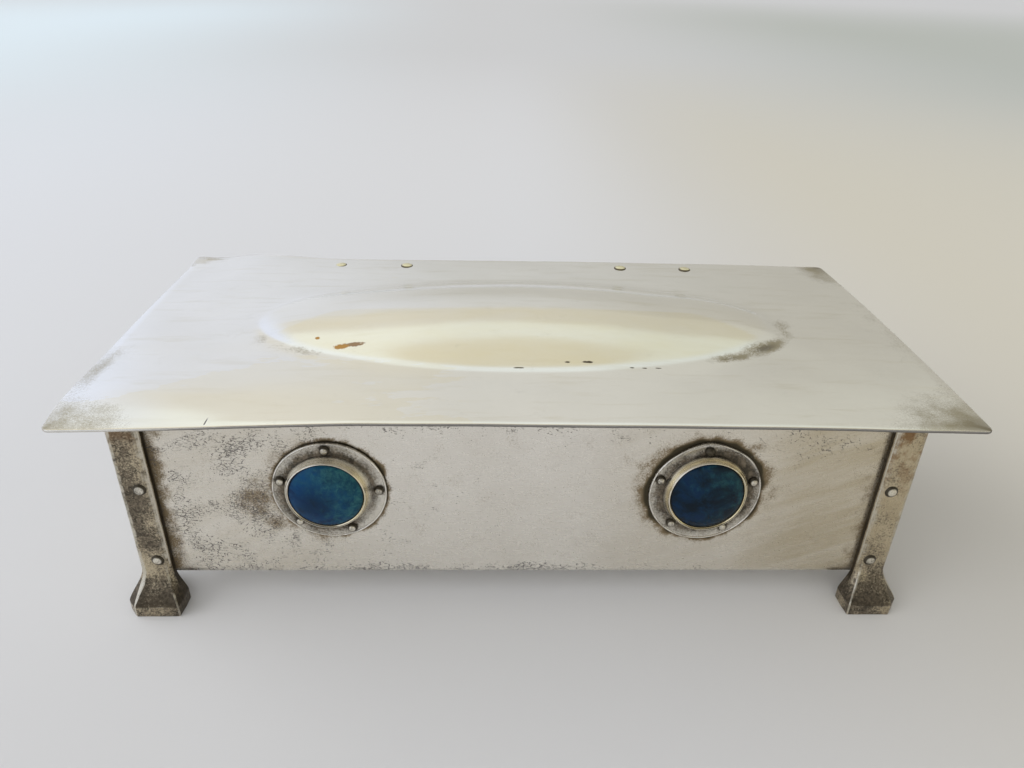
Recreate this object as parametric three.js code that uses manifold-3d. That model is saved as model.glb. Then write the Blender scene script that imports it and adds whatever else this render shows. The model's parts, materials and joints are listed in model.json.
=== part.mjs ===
// A hand-made jewellery casket in silver-plated sheet metal: a riveted box on four flared corner legs,
// two domed glazed cabochons on its front, and a lid with an oval dome that swings on two butt hinges.
// Millimetres, +Z up. The origin is on the table under the middle of the lid, and -Y is the front.
import * as THREE from 'three';
import { mergeVertices } from 'three/addons/utils/BufferGeometryUtils.js';
import Module from 'manifold-3d';

const wasm = await Module();
wasm.setup();

// Box: four sheet walls and a floor plate
const BOX_LENGTH = 229.5;
const BOX_DEPTH = 97;
const BOX_HEIGHT = 62;
const FLOOR_GAP = 11; // from the table to the underside of the box
const WALL_SHEET = 1.2;
const SOLDER_GAP = 0.05;

// Corner legs: heavy angle section, flared into a foot
const LEG_WIDTH = 10.5;
const LEG_THICKNESS = 2.9;
const LEG_SEAT_GAP = 0.1;
const LEG_CHAMFER = 2;
const LEG_BEVEL = 0.8;
const FOOT_FLARE = 5.1; // how far the foot stands out past the leg's two outer faces
const FOOT_SPREAD = 2.6; // how far it widens past the leg's two inner edges
const FOOT_CHAMFER = 3.3;
const FOOT_BEVEL = 2;
const FOOT_BEVEL_DEPTH = 4.35;
const FOOT_BAND = 3.8; // upright band at the bottom of the foot
const FOOT_HEIGHT = 13.5; // where the flare runs out into the leg
const FOOT_EASE = 0.8; // eased lower edge
const FOOT_SWEEP = 1.7; // how sharply the flare curves out at the bottom
const FOOT_STEPS = 5;

// Leg rivets, two to a flange, at heights up from the underside of the box
const LEG_RIVET_HEIGHTS = { lower: 7.1, upper: 33.9 };
const LEG_RIVET_CLEARANCE = 0.2; // between the tails of two rivets that meet in a corner
const LEG_RIVET_HEAD = 1.65;
const LEG_RIVET_RISE = 0.75;
const LEG_RIVET_SHANK = 0.9;

// Cabochon settings on the front wall
const SETTING_SPACING = 112.6; // between the two centres
const SETTING_SHIFT = -0.7; // the pair sits a little left of the middle
const SETTING_HEIGHT = 32; // centre, up from the underside of the box
const FLANGE_SHEET = 0.85;
const FLANGE_BEAD = 0.9; // width of the raised outer bead
const FLANGE_BEAD_RISE = 0.25;
const COLLAR_RADIUS = 12.75;
const COLLAR_WALL = 0.7;
const COLLAR_HEIGHT = 4.2;
const LIP_REACH = 0.95; // how far the rim is turned in over the stone
const LIP_DROP = 0.5;
const COVE = 0.55; // fillet between flange and collar
const SETTING_SEAT_GAP = 0.1;
const SETTING_RIVET_HEAD = 1.3;
const SETTING_RIVET_RISE = 1.1;
const SETTING_RIVET_SHANK = 0.7;
const SETTING_RIVET_MARGIN = 0.08; // head to cove, and head to bead
const SETTING_RIVET_ANGLES = { left: [2, 91, 165, 228, 293], right: [16, 92, 162, 232, 299] };

// Cabochons
const STONE_CLEARANCE = 0.2;
const STONE_CROWN = 3.4;

// Lid: a crowned sheet with an oval dome raised in it
const LID_OVERHANG_END = 9.25; // past the legs' outer faces
const LID_OVERHANG_FACE = 12;
const LID_SHEET = 1;
const LID_CORNER_RADIUS = 3;
const LID_CROWN = 1.1; // from the middle of an edge up to the middle of the sheet
const LID_SEAT_GAP = 0.3;
const DOME_LENGTH = 172;
const DOME_DEPTH = 71.6;
const DOME_RISE = 7.2;
const DOME_SETBACK = 1.5; // the oval sits a little behind the middle

// Butt hinges under the back overhang
const HINGE_SPACING = 111;
const HINGE_LENGTH = 36;
const HINGE_KNUCKLES = 5;
const KNUCKLE_RADIUS = 2.4;
const KNUCKLE_GAP = 0.2;
const LEAF_SHEET = 1;
const LEAF_SEAT_GAP = 0.1;
const LID_LEAF_REACH = 8; // from the hinge axis
const BACK_LEAF_REACH = 12;
const PIN_RADIUS = 0.95;
const PIN_CLEARANCE = 0.06;
const PIN_PROUD = 0.5;
const HINGE_RIVET_SHANK = 0.9;
const LID_RIVET_PITCH = 26;
const LID_RIVET_REACH = 4.8; // from the hinge axis
const LID_RIVET_HEAD = 1.95;
const LID_RIVET_RISE = 0.7;
const BACK_RIVET_PITCH = 16;
const BACK_RIVET_REACH = 7.6;
const BACK_RIVET_HEAD = 1.5;
const BACK_RIVET_RISE = 0.6;

// Velvet pad, loose on the floor of the box
const PAD_THICKNESS = 3.2;
const PAD_CLEARANCE = 0.9;
const PAD_EDGE = 1.2; // soft rounding of its edges

// Every rivet is set the same way
const RIVET_SEAT_GAP = 0.05;
const RIVET_HOLE_CLEARANCE = 0.12;
const RIVET_TAIL_RISE = 0.5;
const RIVET_TAIL_SPREAD = 1.4; // tail radius over shank radius
const RIVET_SIDES = 8;
const RIVET_DOME_STEPS = 3;

// Facets of the larger round pieces
const SETTING_SIDES = 32;
const STONE_STEPS = 5;
const KNUCKLE_SIDES = 16;
const LID_SIDES = 56;
const LID_CORNER_STEPS = 5;
const DOME_RINGS = 5;
const BRIM_RINGS = 2;
const PAD_EDGE_STEPS = 3;

// Outer faces of the box, the legs and the lid
const wallX = BOX_LENGTH / 2;
const wallY = BOX_DEPTH / 2;
const innerX = wallX - WALL_SHEET;
const innerY = wallY - WALL_SHEET;
const legProud = LEG_SEAT_GAP + LEG_THICKNESS;
const legX = wallX + legProud;
const legY = wallY + legProud;
const lidX = legX + LID_OVERHANG_END;
const lidY = legY + LID_OVERHANG_FACE;
const rimZ = FLOOR_GAP + BOX_HEIGHT;

// The lid rests over the outer corners of the legs. lidZ is its top at the middle of an edge.
const crownAt = (x, y) => LID_CROWN * (1 - (x / lidX) ** 2 - (y / lidY) ** 2);
const lidZ = rimZ + LID_SEAT_GAP + LID_SHEET - crownAt(legX, legY);

// The hinge axis: knuckles against the back wall, lid leaf against the lowest sheet above it
const hingeY = wallY + LEAF_SEAT_GAP + KNUCKLE_RADIUS;
const sheetOverLeaf = lidZ + crownAt((HINGE_SPACING + HINGE_LENGTH) / 2, hingeY + LID_LEAF_REACH) - LID_SHEET;
const hingeZ = sheetOverLeaf - LEAF_SEAT_GAP - KNUCKLE_RADIUS;

// Finishes
const silver = new THREE.MeshStandardMaterial({ color: 0xc9c5ba, roughness: 0.32, metalness: 1 });
const tarnished = new THREE.MeshStandardMaterial({ color: 0x8d8676, roughness: 0.45, metalness: 1 });
const brass = new THREE.MeshStandardMaterial({ color: 0xc9b878, roughness: 0.35, metalness: 1 });
const glaze = new THREE.MeshStandardMaterial({ color: 0x123f63, roughness: 0.12, metalness: 0 });
const velvet = new THREE.MeshStandardMaterial({ color: 0x3a1420, roughness: 0.95, metalness: 0 });

// A closed geometry as a solid that can be cut and joined
const WELD_DISTANCE = 1e-5;

function solidOf(geometry) {
  const bare = geometry.index ? geometry.toNonIndexed() : geometry.clone();
  bare.deleteAttribute('normal');
  bare.deleteAttribute('uv');
  const merged = mergeVertices(bare, WELD_DISTANCE);
  return new wasm.Manifold(new wasm.Mesh({
    numProp: 3,
    vertProperties: new Float32Array(merged.attributes.position.array),
    triVerts: new Uint32Array(merged.index.array),
  }));
}

// A solid back as a geometry with flat faces
function geometryOf(solid) {
  const { vertProperties, triVerts } = solid.getMesh();
  const indexed = new THREE.BufferGeometry();
  indexed.setAttribute('position', new THREE.BufferAttribute(vertProperties, 3));
  indexed.setIndex(new THREE.BufferAttribute(triVerts, 1));
  const flat = indexed.toNonIndexed();
  flat.computeVertexNormals();
  return flat;
}

function cut(geometry, tools) {
  return geometryOf(tools.reduce((solid, tool) => solid.subtract(solidOf(tool)), solidOf(geometry)));
}

function join(geometries) {
  return geometryOf(geometries.map(solidOf).reduce((whole, solid) => whole.add(solid)));
}

// A box between two corners
function block([x0, y0, z0], [x1, y1, z1]) {
  const box = new THREE.BoxGeometry(x1 - x0, y1 - y0, z1 - z0);
  return box.translate((x0 + x1) / 2, (y0 + y1) / 2, (z0 + z1) / 2);
}

// A closed surface from points and triangles
function skin(points, faces) {
  const surface = new THREE.BufferGeometry();
  surface.setAttribute('position', new THREE.Float32BufferAttribute(points.flat(), 3));
  surface.setIndex(faces.flat());
  return surface;
}

// A revolved shape whose axis points out of a wall, towards -Y. Its profile is a list of [radius, height].
function turned(profile, facets) {
  const points = profile.map(([radius, height]) => new THREE.Vector2(radius, height));
  return new THREE.LatheGeometry(points, facets).rotateX(Math.PI);
}

// A quarter of an oval from its foot at a radius up to its top on the axis, for the end of a profile
function domeProfile(radius, foot, rise, steps) {
  const points = [];
  for (let step = 0; step < steps; step += 1) {
    const angle = (step / steps) * Math.PI / 2;
    points.push([radius * Math.cos(angle), foot + rise * Math.sin(angle)]);
  }
  return [...points, [0, foot + rise]];
}

const casket = new THREE.Group();
casket.name = 'jewellery_casket';

function addGroup(parent, x, y, z) {
  const group = new THREE.Group();
  group.position.set(x, y, z);
  parent.add(group);
  return group;
}

function add(parent, name, geometry, material, x = 0, y = 0, z = 0) {
  const mesh = new THREE.Mesh(geometry, material);
  mesh.name = name;
  mesh.position.set(x, y, z);
  parent.add(mesh);
  return mesh;
}

// A rivet with its head towards -Y. The head sits on y = 0 and the tail is closed over at y = grip.
const tailOf = (shank) => shank * RIVET_TAIL_SPREAD;
const tailProud = RIVET_SEAT_GAP + RIVET_TAIL_RISE;

function rivetGeometry({ head, rise, shank, grip }) {
  const seat = RIVET_SEAT_GAP;
  return turned([
    [0, -grip - tailProud],
    [tailOf(shank), -grip - seat],
    [shank, -grip - seat],
    [shank, seat],
    ...domeProfile(head, seat, rise, RIVET_DOME_STEPS),
  ], RIVET_SIDES);
}

// Its hole, long enough to go right through any piece it clamps, in that piece's own frame
function rivetHole({ shank, grip }, x, z) {
  const radius = shank + RIVET_HOLE_CLEARANCE;
  const length = 3 * grip;
  const hole = new THREE.CylinderGeometry(radius, radius, length, RIVET_SIDES);
  return hole.rotateX(Math.PI).translate(x, 0, z);
}

// Each wall has its own frame: x along it, its outer face at y = 0 facing -Y, z up from the box's underside
const sides = {
  front: { turn: 0, x: 0, y: -wallY, ends: ['left', 'right'] },
  right: { turn: Math.PI / 2, x: wallX, y: 0, ends: ['front', 'back'] },
  back: { turn: Math.PI, x: 0, y: wallY, ends: ['right', 'left'] },
  left: { turn: -Math.PI / 2, x: -wallX, y: 0, ends: ['back', 'front'] },
};
for (const side of Object.values(sides)) {
  side.group = addGroup(casket, side.x, side.y, FLOOR_GAP);
  side.group.rotation.z = side.turn;
  side.holes = [];
}

// A rivet through a wall, which also lists its hole there
function rivetOnWall(side, name, kind, material, x, stand, z) {
  side.holes.push(rivetHole(kind, x, z));
  add(side.group, name, rivetGeometry(kind), material, x, -stand, z);
}

// Leg rivets, clear of the wall and of the rivets round the corner
const legRivet = {
  head: LEG_RIVET_HEAD,
  rise: LEG_RIVET_RISE,
  shank: LEG_RIVET_SHANK,
  grip: legProud + WALL_SHEET,
};
const legRivetInset = legProud + WALL_SHEET + tailProud + LEG_RIVET_CLEARANCE + tailOf(LEG_RIVET_SHANK);
for (const [wall, side] of Object.entries(sides)) {
  const reach = (side.x ? legY : legX) - legRivetInset;
  for (const [level, height] of Object.entries(LEG_RIVET_HEIGHTS)) {
    side.ends.forEach((end, i) => {
      const name = `leg_rivet_${wall}_${end}_${level}`;
      rivetOnWall(side, name, legRivet, tarnished, i ? reach : -reach, legProud, height);
    });
  }
}

// Legs. The section is an angle with its outer corner at (0, 0), symmetrical about its diagonal, so one
// leg turned about Z fits every corner. Half the outline is listed, and the other half mirrors it.
function legSection({ flare, reach, chamfer, bevel, bevelDepth }, inset = 0) {
  const outer = inset - flare;
  const inner = reach - inset;
  const half = [
    new THREE.Vector2(outer + chamfer, outer),
    new THREE.Vector2(inner - bevel, outer),
    new THREE.Vector2(inner, outer + bevelDepth),
    new THREE.Vector2(inner, LEG_THICKNESS),
  ];
  const mirrored = half.map(({ x, y }) => new THREE.Vector2(y, x)).reverse();
  return [...half, new THREE.Vector2(LEG_THICKNESS, LEG_THICKNESS), ...mirrored];
}

// Joins a stack of outlines with equal numbers of points, and closes its two ends
function loft(levels) {
  const count = levels[0].outline.length;
  const top = (levels.length - 1) * count;
  const points = levels.flatMap(({ outline, z }) => outline.map(({ x, y }) => [x, y, z]));
  const faces = [];
  for (let start = 0; start < top; start += count) {
    for (let i = 0; i < count; i += 1) {
      const a = start + i;
      const b = start + (i + 1) % count;
      faces.push([a, b, b + count], [a, b + count, a + count]);
    }
  }
  for (const [a, b, c] of THREE.ShapeUtils.triangulateShape(levels[0].outline, [])) {
    faces.push([a, c, b]);
  }
  for (const [a, b, c] of THREE.ShapeUtils.triangulateShape(levels.at(-1).outline, [])) {
    faces.push([top + a, top + b, top + c]);
  }
  return skin(points, faces);
}

function legGeometry() {
  const shaft = {
    flare: 0,
    reach: LEG_WIDTH,
    chamfer: LEG_CHAMFER,
    bevel: LEG_BEVEL,
    bevelDepth: LEG_BEVEL,
  };
  const foot = {
    flare: FOOT_FLARE,
    reach: LEG_WIDTH + FOOT_SPREAD,
    chamfer: FOOT_CHAMFER,
    bevel: FOOT_BEVEL,
    bevelDepth: FOOT_BEVEL_DEPTH,
  };
  const levels = [
    { outline: legSection(foot, FOOT_EASE), z: 0 },
    { outline: legSection(foot), z: FOOT_EASE },
  ];
  for (let step = 0; step <= FOOT_STEPS; step += 1) {
    const climb = step / FOOT_STEPS;
    const flared = (1 - climb) ** FOOT_SWEEP;
    const sizes = Object.keys(foot).map((key) => [key, THREE.MathUtils.lerp(shaft[key], foot[key], flared)]);
    const z = THREE.MathUtils.lerp(FOOT_BAND, FOOT_HEIGHT, climb);
    levels.push({ outline: legSection(Object.fromEntries(sizes)), z });
  }
  levels.push({ outline: legSection(shaft), z: rimZ });
  const holes = [];
  for (const height of Object.values(LEG_RIVET_HEIGHTS)) {
    const z = FLOOR_GAP + height;
    holes.push(rivetHole(legRivet, legRivetInset, z));
    holes.push(rivetHole(legRivet, -legRivetInset, z).rotateZ(-Math.PI / 2));
  }
  return cut(loft(levels), holes);
}

const corners = [
  { name: 'front_left', x: -legX, y: -legY, turn: 0 },
  { name: 'front_right', x: legX, y: -legY, turn: Math.PI / 2 },
  { name: 'back_right', x: legX, y: legY, turn: Math.PI },
  { name: 'back_left', x: -legX, y: legY, turn: -Math.PI / 2 },
];
const leg = legGeometry();
for (const { name, x, y, turn } of corners) {
  add(casket, `leg_${name}`, leg, tarnished, x, y).rotation.z = turn;
}

// Cabochon settings: a flanged collar spun from one disc, its rim turned in over the stone. The flange is
// just wide enough for the rivets between its cove and its outer bead.
const bore = COLLAR_RADIUS - COLLAR_WALL;
const rim = SETTING_SEAT_GAP + COLLAR_HEIGHT;
const lipRadius = bore - LIP_REACH;
const flangeTop = SETTING_SEAT_GAP + FLANGE_SHEET;
const flatInner = COLLAR_RADIUS + COVE;
const settingRivetRing = flatInner + SETTING_RIVET_MARGIN + SETTING_RIVET_HEAD;
const flatOuter = settingRivetRing + SETTING_RIVET_HEAD + SETTING_RIVET_MARGIN;
const flangeRadius = flatOuter + FLANGE_BEAD;
const settingRivet = {
  head: SETTING_RIVET_HEAD,
  rise: SETTING_RIVET_RISE,
  shank: SETTING_RIVET_SHANK,
  grip: flangeTop + WALL_SHEET,
};

function settingGeometry(holes) {
  const beadTop = flangeTop + FLANGE_BEAD_RISE;
  const coveMiddle = COVE * (1 - Math.SQRT1_2);
  const collar = turned([
    [bore, SETTING_SEAT_GAP],
    [flangeRadius, SETTING_SEAT_GAP],
    [flangeRadius, flangeTop],
    [flangeRadius - FLANGE_BEAD / 3, beadTop],
    [flangeRadius - FLANGE_BEAD * 2 / 3, beadTop],
    [flatOuter, flangeTop],
    [flatInner, flangeTop],
    [COLLAR_RADIUS + coveMiddle, flangeTop + coveMiddle],
    [COLLAR_RADIUS, flangeTop + COVE],
    [COLLAR_RADIUS, rim - COLLAR_WALL / 2],
    [COLLAR_RADIUS - COLLAR_WALL / 2, rim],
    [bore, rim],
    [lipRadius, rim - LIP_DROP],
    [bore, rim - 2 * LIP_DROP],
    [bore, SETTING_SEAT_GAP],
  ], SETTING_SIDES);
  return cut(collar, holes);
}

// The stone fills the collar, and its dome comes up through the lip with the same clearance all round
function stoneGeometry() {
  const radius = bore - STONE_CLEARANCE;
  const shoulder = STONE_CROWN * Math.sqrt(1 - (lipRadius / radius) ** 2);
  const girdle = rim - LIP_DROP - STONE_CLEARANCE - shoulder;
  const base = [[0, SETTING_SEAT_GAP], [radius, SETTING_SEAT_GAP]];
  return turned([...base, ...domeProfile(radius, girdle, STONE_CROWN, STONE_STEPS)], SETTING_SIDES);
}

const settings = { left: -SETTING_SPACING / 2, right: SETTING_SPACING / 2 };
for (const [name, offset] of Object.entries(settings)) {
  const x = SETTING_SHIFT + offset;
  const holes = SETTING_RIVET_ANGLES[name].map((degrees, i) => {
    const angle = THREE.MathUtils.degToRad(degrees);
    const across = settingRivetRing * Math.cos(angle);
    const up = settingRivetRing * Math.sin(angle);
    const rivet = `setting_rivet_${name}_${i + 1}`;
    rivetOnWall(sides.front, rivet, settingRivet, silver, x + across, flangeTop, SETTING_HEIGHT + up);
    return rivetHole(settingRivet, across, up);
  });
  add(sides.front.group, `setting_${name}`, settingGeometry(holes), silver, x, 0, SETTING_HEIGHT);
  add(sides.front.group, `cabochon_${name}`, stoneGeometry(), glaze, x, 0, SETTING_HEIGHT);
}

// Hinges. A leaf is made on its own axis: the plate runs along +Y with its seat face up, and carries
// every other knuckle. The pin is fixed in the back leaf, and the lid leaf turns on it.
const lidGroup = addGroup(casket, 0, hingeY, hingeZ);
const lidRivetY = hingeY + LID_RIVET_REACH;
const backRivet = {
  head: BACK_RIVET_HEAD,
  rise: BACK_RIVET_RISE,
  shank: HINGE_RIVET_SHANK,
  grip: LEAF_SEAT_GAP + LEAF_SHEET + WALL_SHEET,
};

// A rivet on the crowned sheet, with its head on the highest sheet that it covers
function lidRivetAt(x) {
  const top = lidZ + crownAt(Math.abs(x) - LID_RIVET_HEAD, lidRivetY - LID_RIVET_HEAD);
  const leafUnderside = hingeZ + KNUCKLE_RADIUS - LEAF_SHEET;
  const kind = {
    head: LID_RIVET_HEAD,
    rise: LID_RIVET_RISE,
    shank: HINGE_RIVET_SHANK,
    grip: top - leafUnderside,
  };
  return { kind, top };
}

// A hole along Z for a rivet at (x, y)
function uprightHole(kind, x, y) {
  return rivetHole(kind, 0, 0).rotateX(-Math.PI / 2).translate(x, y, 0);
}

function leafGeometry(reach, firstKnuckle, holes) {
  const pitch = HINGE_LENGTH / HINGE_KNUCKLES;
  const end = HINGE_LENGTH / 2;
  const seat = KNUCKLE_RADIUS;
  const plateStart = KNUCKLE_RADIUS + KNUCKLE_GAP;
  const pieces = [block([-end, plateStart, seat - LEAF_SHEET], [end, reach, seat])];
  for (let i = firstKnuckle; i < HINGE_KNUCKLES; i += 2) {
    const x0 = i * pitch - end + KNUCKLE_GAP / 2;
    const x1 = x0 + pitch - KNUCKLE_GAP;
    const barrel = new THREE.CylinderGeometry(KNUCKLE_RADIUS, KNUCKLE_RADIUS, x1 - x0, KNUCKLE_SIDES);
    pieces.push(barrel.rotateZ(Math.PI / 2).translate((x0 + x1) / 2, 0, 0));
    pieces.push(block([x0, 0, seat - LEAF_SHEET], [x1, plateStart + LEAF_SHEET, seat]));
  }
  const pinBore = PIN_RADIUS + PIN_CLEARANCE;
  const drill = new THREE.CylinderGeometry(pinBore, pinBore, 2 * HINGE_LENGTH, KNUCKLE_SIDES);
  return cut(join(pieces), [drill.rotateZ(Math.PI / 2), ...holes]);
}

const pinLength = HINGE_LENGTH + 2 * PIN_PROUD;
const pin = new THREE.CylinderGeometry(PIN_RADIUS, PIN_RADIUS, pinLength, KNUCKLE_SIDES).rotateZ(Math.PI / 2);
const backHoles = [-1, 1].map((end) => uprightHole(backRivet, end * BACK_RIVET_PITCH / 2, BACK_RIVET_REACH));
const backLeaf = leafGeometry(BACK_LEAF_REACH, 0, backHoles);
const hingeUp = hingeZ - FLOOR_GAP;
const hingeStand = hingeY - wallY;
const lidHoles = [];

for (const [name, x] of [['left', -HINGE_SPACING / 2], ['right', HINGE_SPACING / 2]]) {
  const onBack = sides.back.group;
  const leaf = add(onBack, `hinge_back_leaf_${name}`, backLeaf, silver, -x, -hingeStand, hingeUp);
  leaf.rotation.x = -Math.PI / 2;
  add(onBack, `hinge_pin_${name}`, pin, brass, -x, -hingeStand, hingeUp);
  const leafHoles = [];
  [-1, 1].forEach((end, i) => {
    const backX = -x + end * BACK_RIVET_PITCH / 2;
    const backName = `back_rivet_${name}_${i + 1}`;
    const stand = LEAF_SEAT_GAP + LEAF_SHEET;
    rivetOnWall(sides.back, backName, backRivet, brass, backX, stand, hingeUp - BACK_RIVET_REACH);
    const across = end * LID_RIVET_PITCH / 2;
    const { kind, top } = lidRivetAt(x + across);
    const rivet = add(lidGroup, `lid_rivet_${name}_${i + 1}`, rivetGeometry(kind), brass);
    rivet.position.set(x + across, LID_RIVET_REACH, top - hingeZ);
    rivet.rotation.x = -Math.PI / 2;
    leafHoles.push(uprightHole(kind, across, LID_RIVET_REACH));
    lidHoles.push(uprightHole(kind, x + across, lidRivetY));
  });
  add(lidGroup, `hinge_lid_leaf_${name}`, leafGeometry(LID_LEAF_REACH, 1, leafHoles), silver, x);
}

// Lid, with z = 0 at the top of the sheet at the middle of an edge: rings from the middle of the dome out
// to the edge, once for the top and once for the underside
function lidHeight(x, y) {
  const inDome = 1 - (2 * x / DOME_LENGTH) ** 2 - (2 * (y - DOME_SETBACK) / DOME_DEPTH) ** 2;
  return crownAt(x, y) + DOME_RISE * Math.max(0, inDome);
}

function lidRingPoint(ring, side) {
  const angle = (side / LID_SIDES) * 2 * Math.PI;
  const c = Math.cos(angle);
  const s = Math.sin(angle);
  const inward = Math.min(1, ring / DOME_RINGS);
  const outward = Math.max(0, ring - DOME_RINGS) / BRIM_RINGS;
  const stretch = Math.max(Math.abs(c), Math.abs(s)); // squares the round of points out to the edge
  return [
    THREE.MathUtils.lerp(DOME_LENGTH / 2 * c * inward, lidX * c / stretch, outward),
    THREE.MathUtils.lerp(DOME_SETBACK + DOME_DEPTH / 2 * s * inward, lidY * s / stretch, outward),
  ];
}

function lidSheet() {
  const rings = DOME_RINGS + BRIM_RINGS;
  const flat = [[0, DOME_SETBACK]];
  const top = [];
  const at = (ring, side) => 1 + (ring - 1) * LID_SIDES + side % LID_SIDES;
  for (let ring = 1; ring <= rings; ring += 1) {
    for (let side = 0; side < LID_SIDES; side += 1) {
      flat.push(lidRingPoint(ring, side));
      const here = at(ring, side);
      const next = at(ring, side + 1);
      if (ring === 1) {
        top.push([0, here, next]);
      } else {
        top.push([at(ring - 1, side), here, next]);
        top.push([at(ring - 1, side), next, at(ring - 1, side + 1)]);
      }
    }
  }
  const under = flat.length;
  const faces = [...top, ...top.map(([a, b, c]) => [under + a, under + c, under + b])];
  for (let side = 0; side < LID_SIDES; side += 1) {
    const here = at(rings, side);
    const next = at(rings, side + 1);
    faces.push([here, here + under, next + under], [here, next + under, next]);
  }
  const points = [0, LID_SHEET].flatMap((drop) => flat.map(([x, y]) => [x, y, lidHeight(x, y) - drop]));
  return skin(points, faces);
}

// The lid's outline with its rounded corners, as a prism taller than the sheet
function lidOutline() {
  const r = LID_CORNER_RADIUS;
  const outline = new THREE.Shape();
  outline.absarc(lidX - r, lidY - r, r, 0, Math.PI / 2);
  outline.absarc(-lidX + r, lidY - r, r, Math.PI / 2, Math.PI);
  outline.absarc(-lidX + r, -lidY + r, r, Math.PI, Math.PI * 1.5);
  outline.absarc(lidX - r, -lidY + r, r, Math.PI * 1.5, Math.PI * 2);
  const depth = 2 * (LID_CROWN + DOME_RISE + LID_SHEET);
  const prism = new THREE.ExtrudeGeometry(outline, {
    depth,
    bevelEnabled: false,
    curveSegments: LID_CORNER_STEPS,
  });
  return prism.translate(0, 0, -depth / 2);
}

const trimmedLid = geometryOf(solidOf(lidSheet()).intersect(solidOf(lidOutline())));
add(lidGroup, 'lid', cut(trimmedLid, lidHoles), silver, 0, -hingeY, lidZ - hingeZ);

// Walls: the long ones run full length, and the end walls fit between them
const endWallLength = 2 * (innerY - SOLDER_GAP);
for (const [wall, side] of Object.entries(sides)) {
  const half = (side.x ? endWallLength : BOX_LENGTH) / 2;
  const sheet = block([-half, 0, 0], [half, WALL_SHEET, BOX_HEIGHT]);
  add(side.group, `${wall}_wall`, cut(sheet, side.holes), silver);
}

// Floor plate, let in between the walls
const floorX = innerX - SOLDER_GAP;
const floorY = innerY - SOLDER_GAP;
const floorPlate = block([-floorX, -floorY, 0], [floorX, floorY, WALL_SHEET]);
add(casket, 'floor_plate', floorPlate, silver, 0, 0, FLOOR_GAP);

// Velvet pad: a card with soft rounded edges
function padGeometry() {
  const x = innerX - PAD_CLEARANCE - PAD_EDGE;
  const y = innerY - PAD_CLEARANCE - PAD_EDGE;
  const outline = new THREE.Shape([
    new THREE.Vector2(-x, -y),
    new THREE.Vector2(x, -y),
    new THREE.Vector2(x, y),
    new THREE.Vector2(-x, y),
  ]);
  const pad = new THREE.ExtrudeGeometry(outline, {
    depth: PAD_THICKNESS - 2 * PAD_EDGE,
    bevelThickness: PAD_EDGE,
    bevelSize: PAD_EDGE,
    bevelSegments: PAD_EDGE_STEPS,
  });
  return pad.translate(0, 0, PAD_EDGE);
}
add(casket, 'velvet_pad', padGeometry(), velvet, 0, 0, FLOOR_GAP + WALL_SHEET + SOLDER_GAP);

export default casket;
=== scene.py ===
# %% [markdown]
# # A silver-plated jewellery casket
# The casket is a low riveted box on four flared legs. Two blue glazed cabochons sit in flanged settings
# on its front, and a wide lid with an oval dome swings on two butt hinges at the back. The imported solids
# are loaded first. They are a fixed frame: every piece below is built round them, in metres, and takes
# its place and its main sizes from them.

# %% Load the frame
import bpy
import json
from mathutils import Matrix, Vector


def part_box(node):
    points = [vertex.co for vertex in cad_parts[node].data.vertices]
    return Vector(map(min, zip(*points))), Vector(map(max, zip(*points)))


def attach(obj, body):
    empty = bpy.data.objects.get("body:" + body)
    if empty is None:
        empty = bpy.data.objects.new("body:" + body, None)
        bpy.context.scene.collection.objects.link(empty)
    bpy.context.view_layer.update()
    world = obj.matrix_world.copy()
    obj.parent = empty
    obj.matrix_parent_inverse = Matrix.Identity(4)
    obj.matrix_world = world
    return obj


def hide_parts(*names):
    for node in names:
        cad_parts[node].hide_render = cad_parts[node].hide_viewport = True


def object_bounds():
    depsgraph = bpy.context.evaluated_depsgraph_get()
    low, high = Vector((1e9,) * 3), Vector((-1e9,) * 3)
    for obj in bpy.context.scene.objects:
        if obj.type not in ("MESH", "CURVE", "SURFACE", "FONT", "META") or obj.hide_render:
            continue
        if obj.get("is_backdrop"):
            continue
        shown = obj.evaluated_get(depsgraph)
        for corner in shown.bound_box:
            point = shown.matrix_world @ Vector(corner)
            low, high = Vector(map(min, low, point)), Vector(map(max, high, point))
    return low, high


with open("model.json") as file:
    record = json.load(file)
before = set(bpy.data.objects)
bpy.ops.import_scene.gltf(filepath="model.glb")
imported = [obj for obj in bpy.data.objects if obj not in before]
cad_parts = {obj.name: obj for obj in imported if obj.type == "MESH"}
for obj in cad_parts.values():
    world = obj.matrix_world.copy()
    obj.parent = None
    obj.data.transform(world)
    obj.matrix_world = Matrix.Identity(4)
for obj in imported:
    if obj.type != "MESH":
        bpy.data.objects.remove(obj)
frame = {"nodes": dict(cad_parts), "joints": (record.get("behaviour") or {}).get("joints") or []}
cad_low, cad_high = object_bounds()

# %% Blender's own modules, and the unit that sizes are written in
import json
import math
import bmesh
import bpy
from mathutils import Matrix, Vector, noise

MM = 0.001
scene = bpy.context.scene
scene.view_settings.view_transform = "Standard"
print("casket, mm:", [round(side / MM, 1) for side in cad_high - cad_low])

# %% [markdown]
# ## Measures
# The boxes of a few solids give nearly all the places that the pieces need. Reading them here, once,
# means that a piece can't drift from the solid that it stands for.

# %% Measures from the frame
lid_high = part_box("lid")[1]
front_low, front_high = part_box("front_wall")
pad_low, pad_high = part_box("velvet_pad")
hinge_axis = Vector(frame["joints"][0]["pos_m"])
setting_boxes = {side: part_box("setting_" + side) for side in ("left", "right")}
setting_centres = {side: (low + high) / 2 for side, (low, high) in setting_boxes.items()}
WALL_SHEET = front_high.y - front_low.y
RIM = front_high.z
UNDERSIDE = front_low.z
flange_low, flange_high = setting_boxes["left"]
FLANGE_RADIUS = (flange_high.x - flange_low.x) / 2
print("wall sheet, mm:", round(WALL_SHEET / MM, 2), "rim, mm:", round(RIM / MM, 2))

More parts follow.
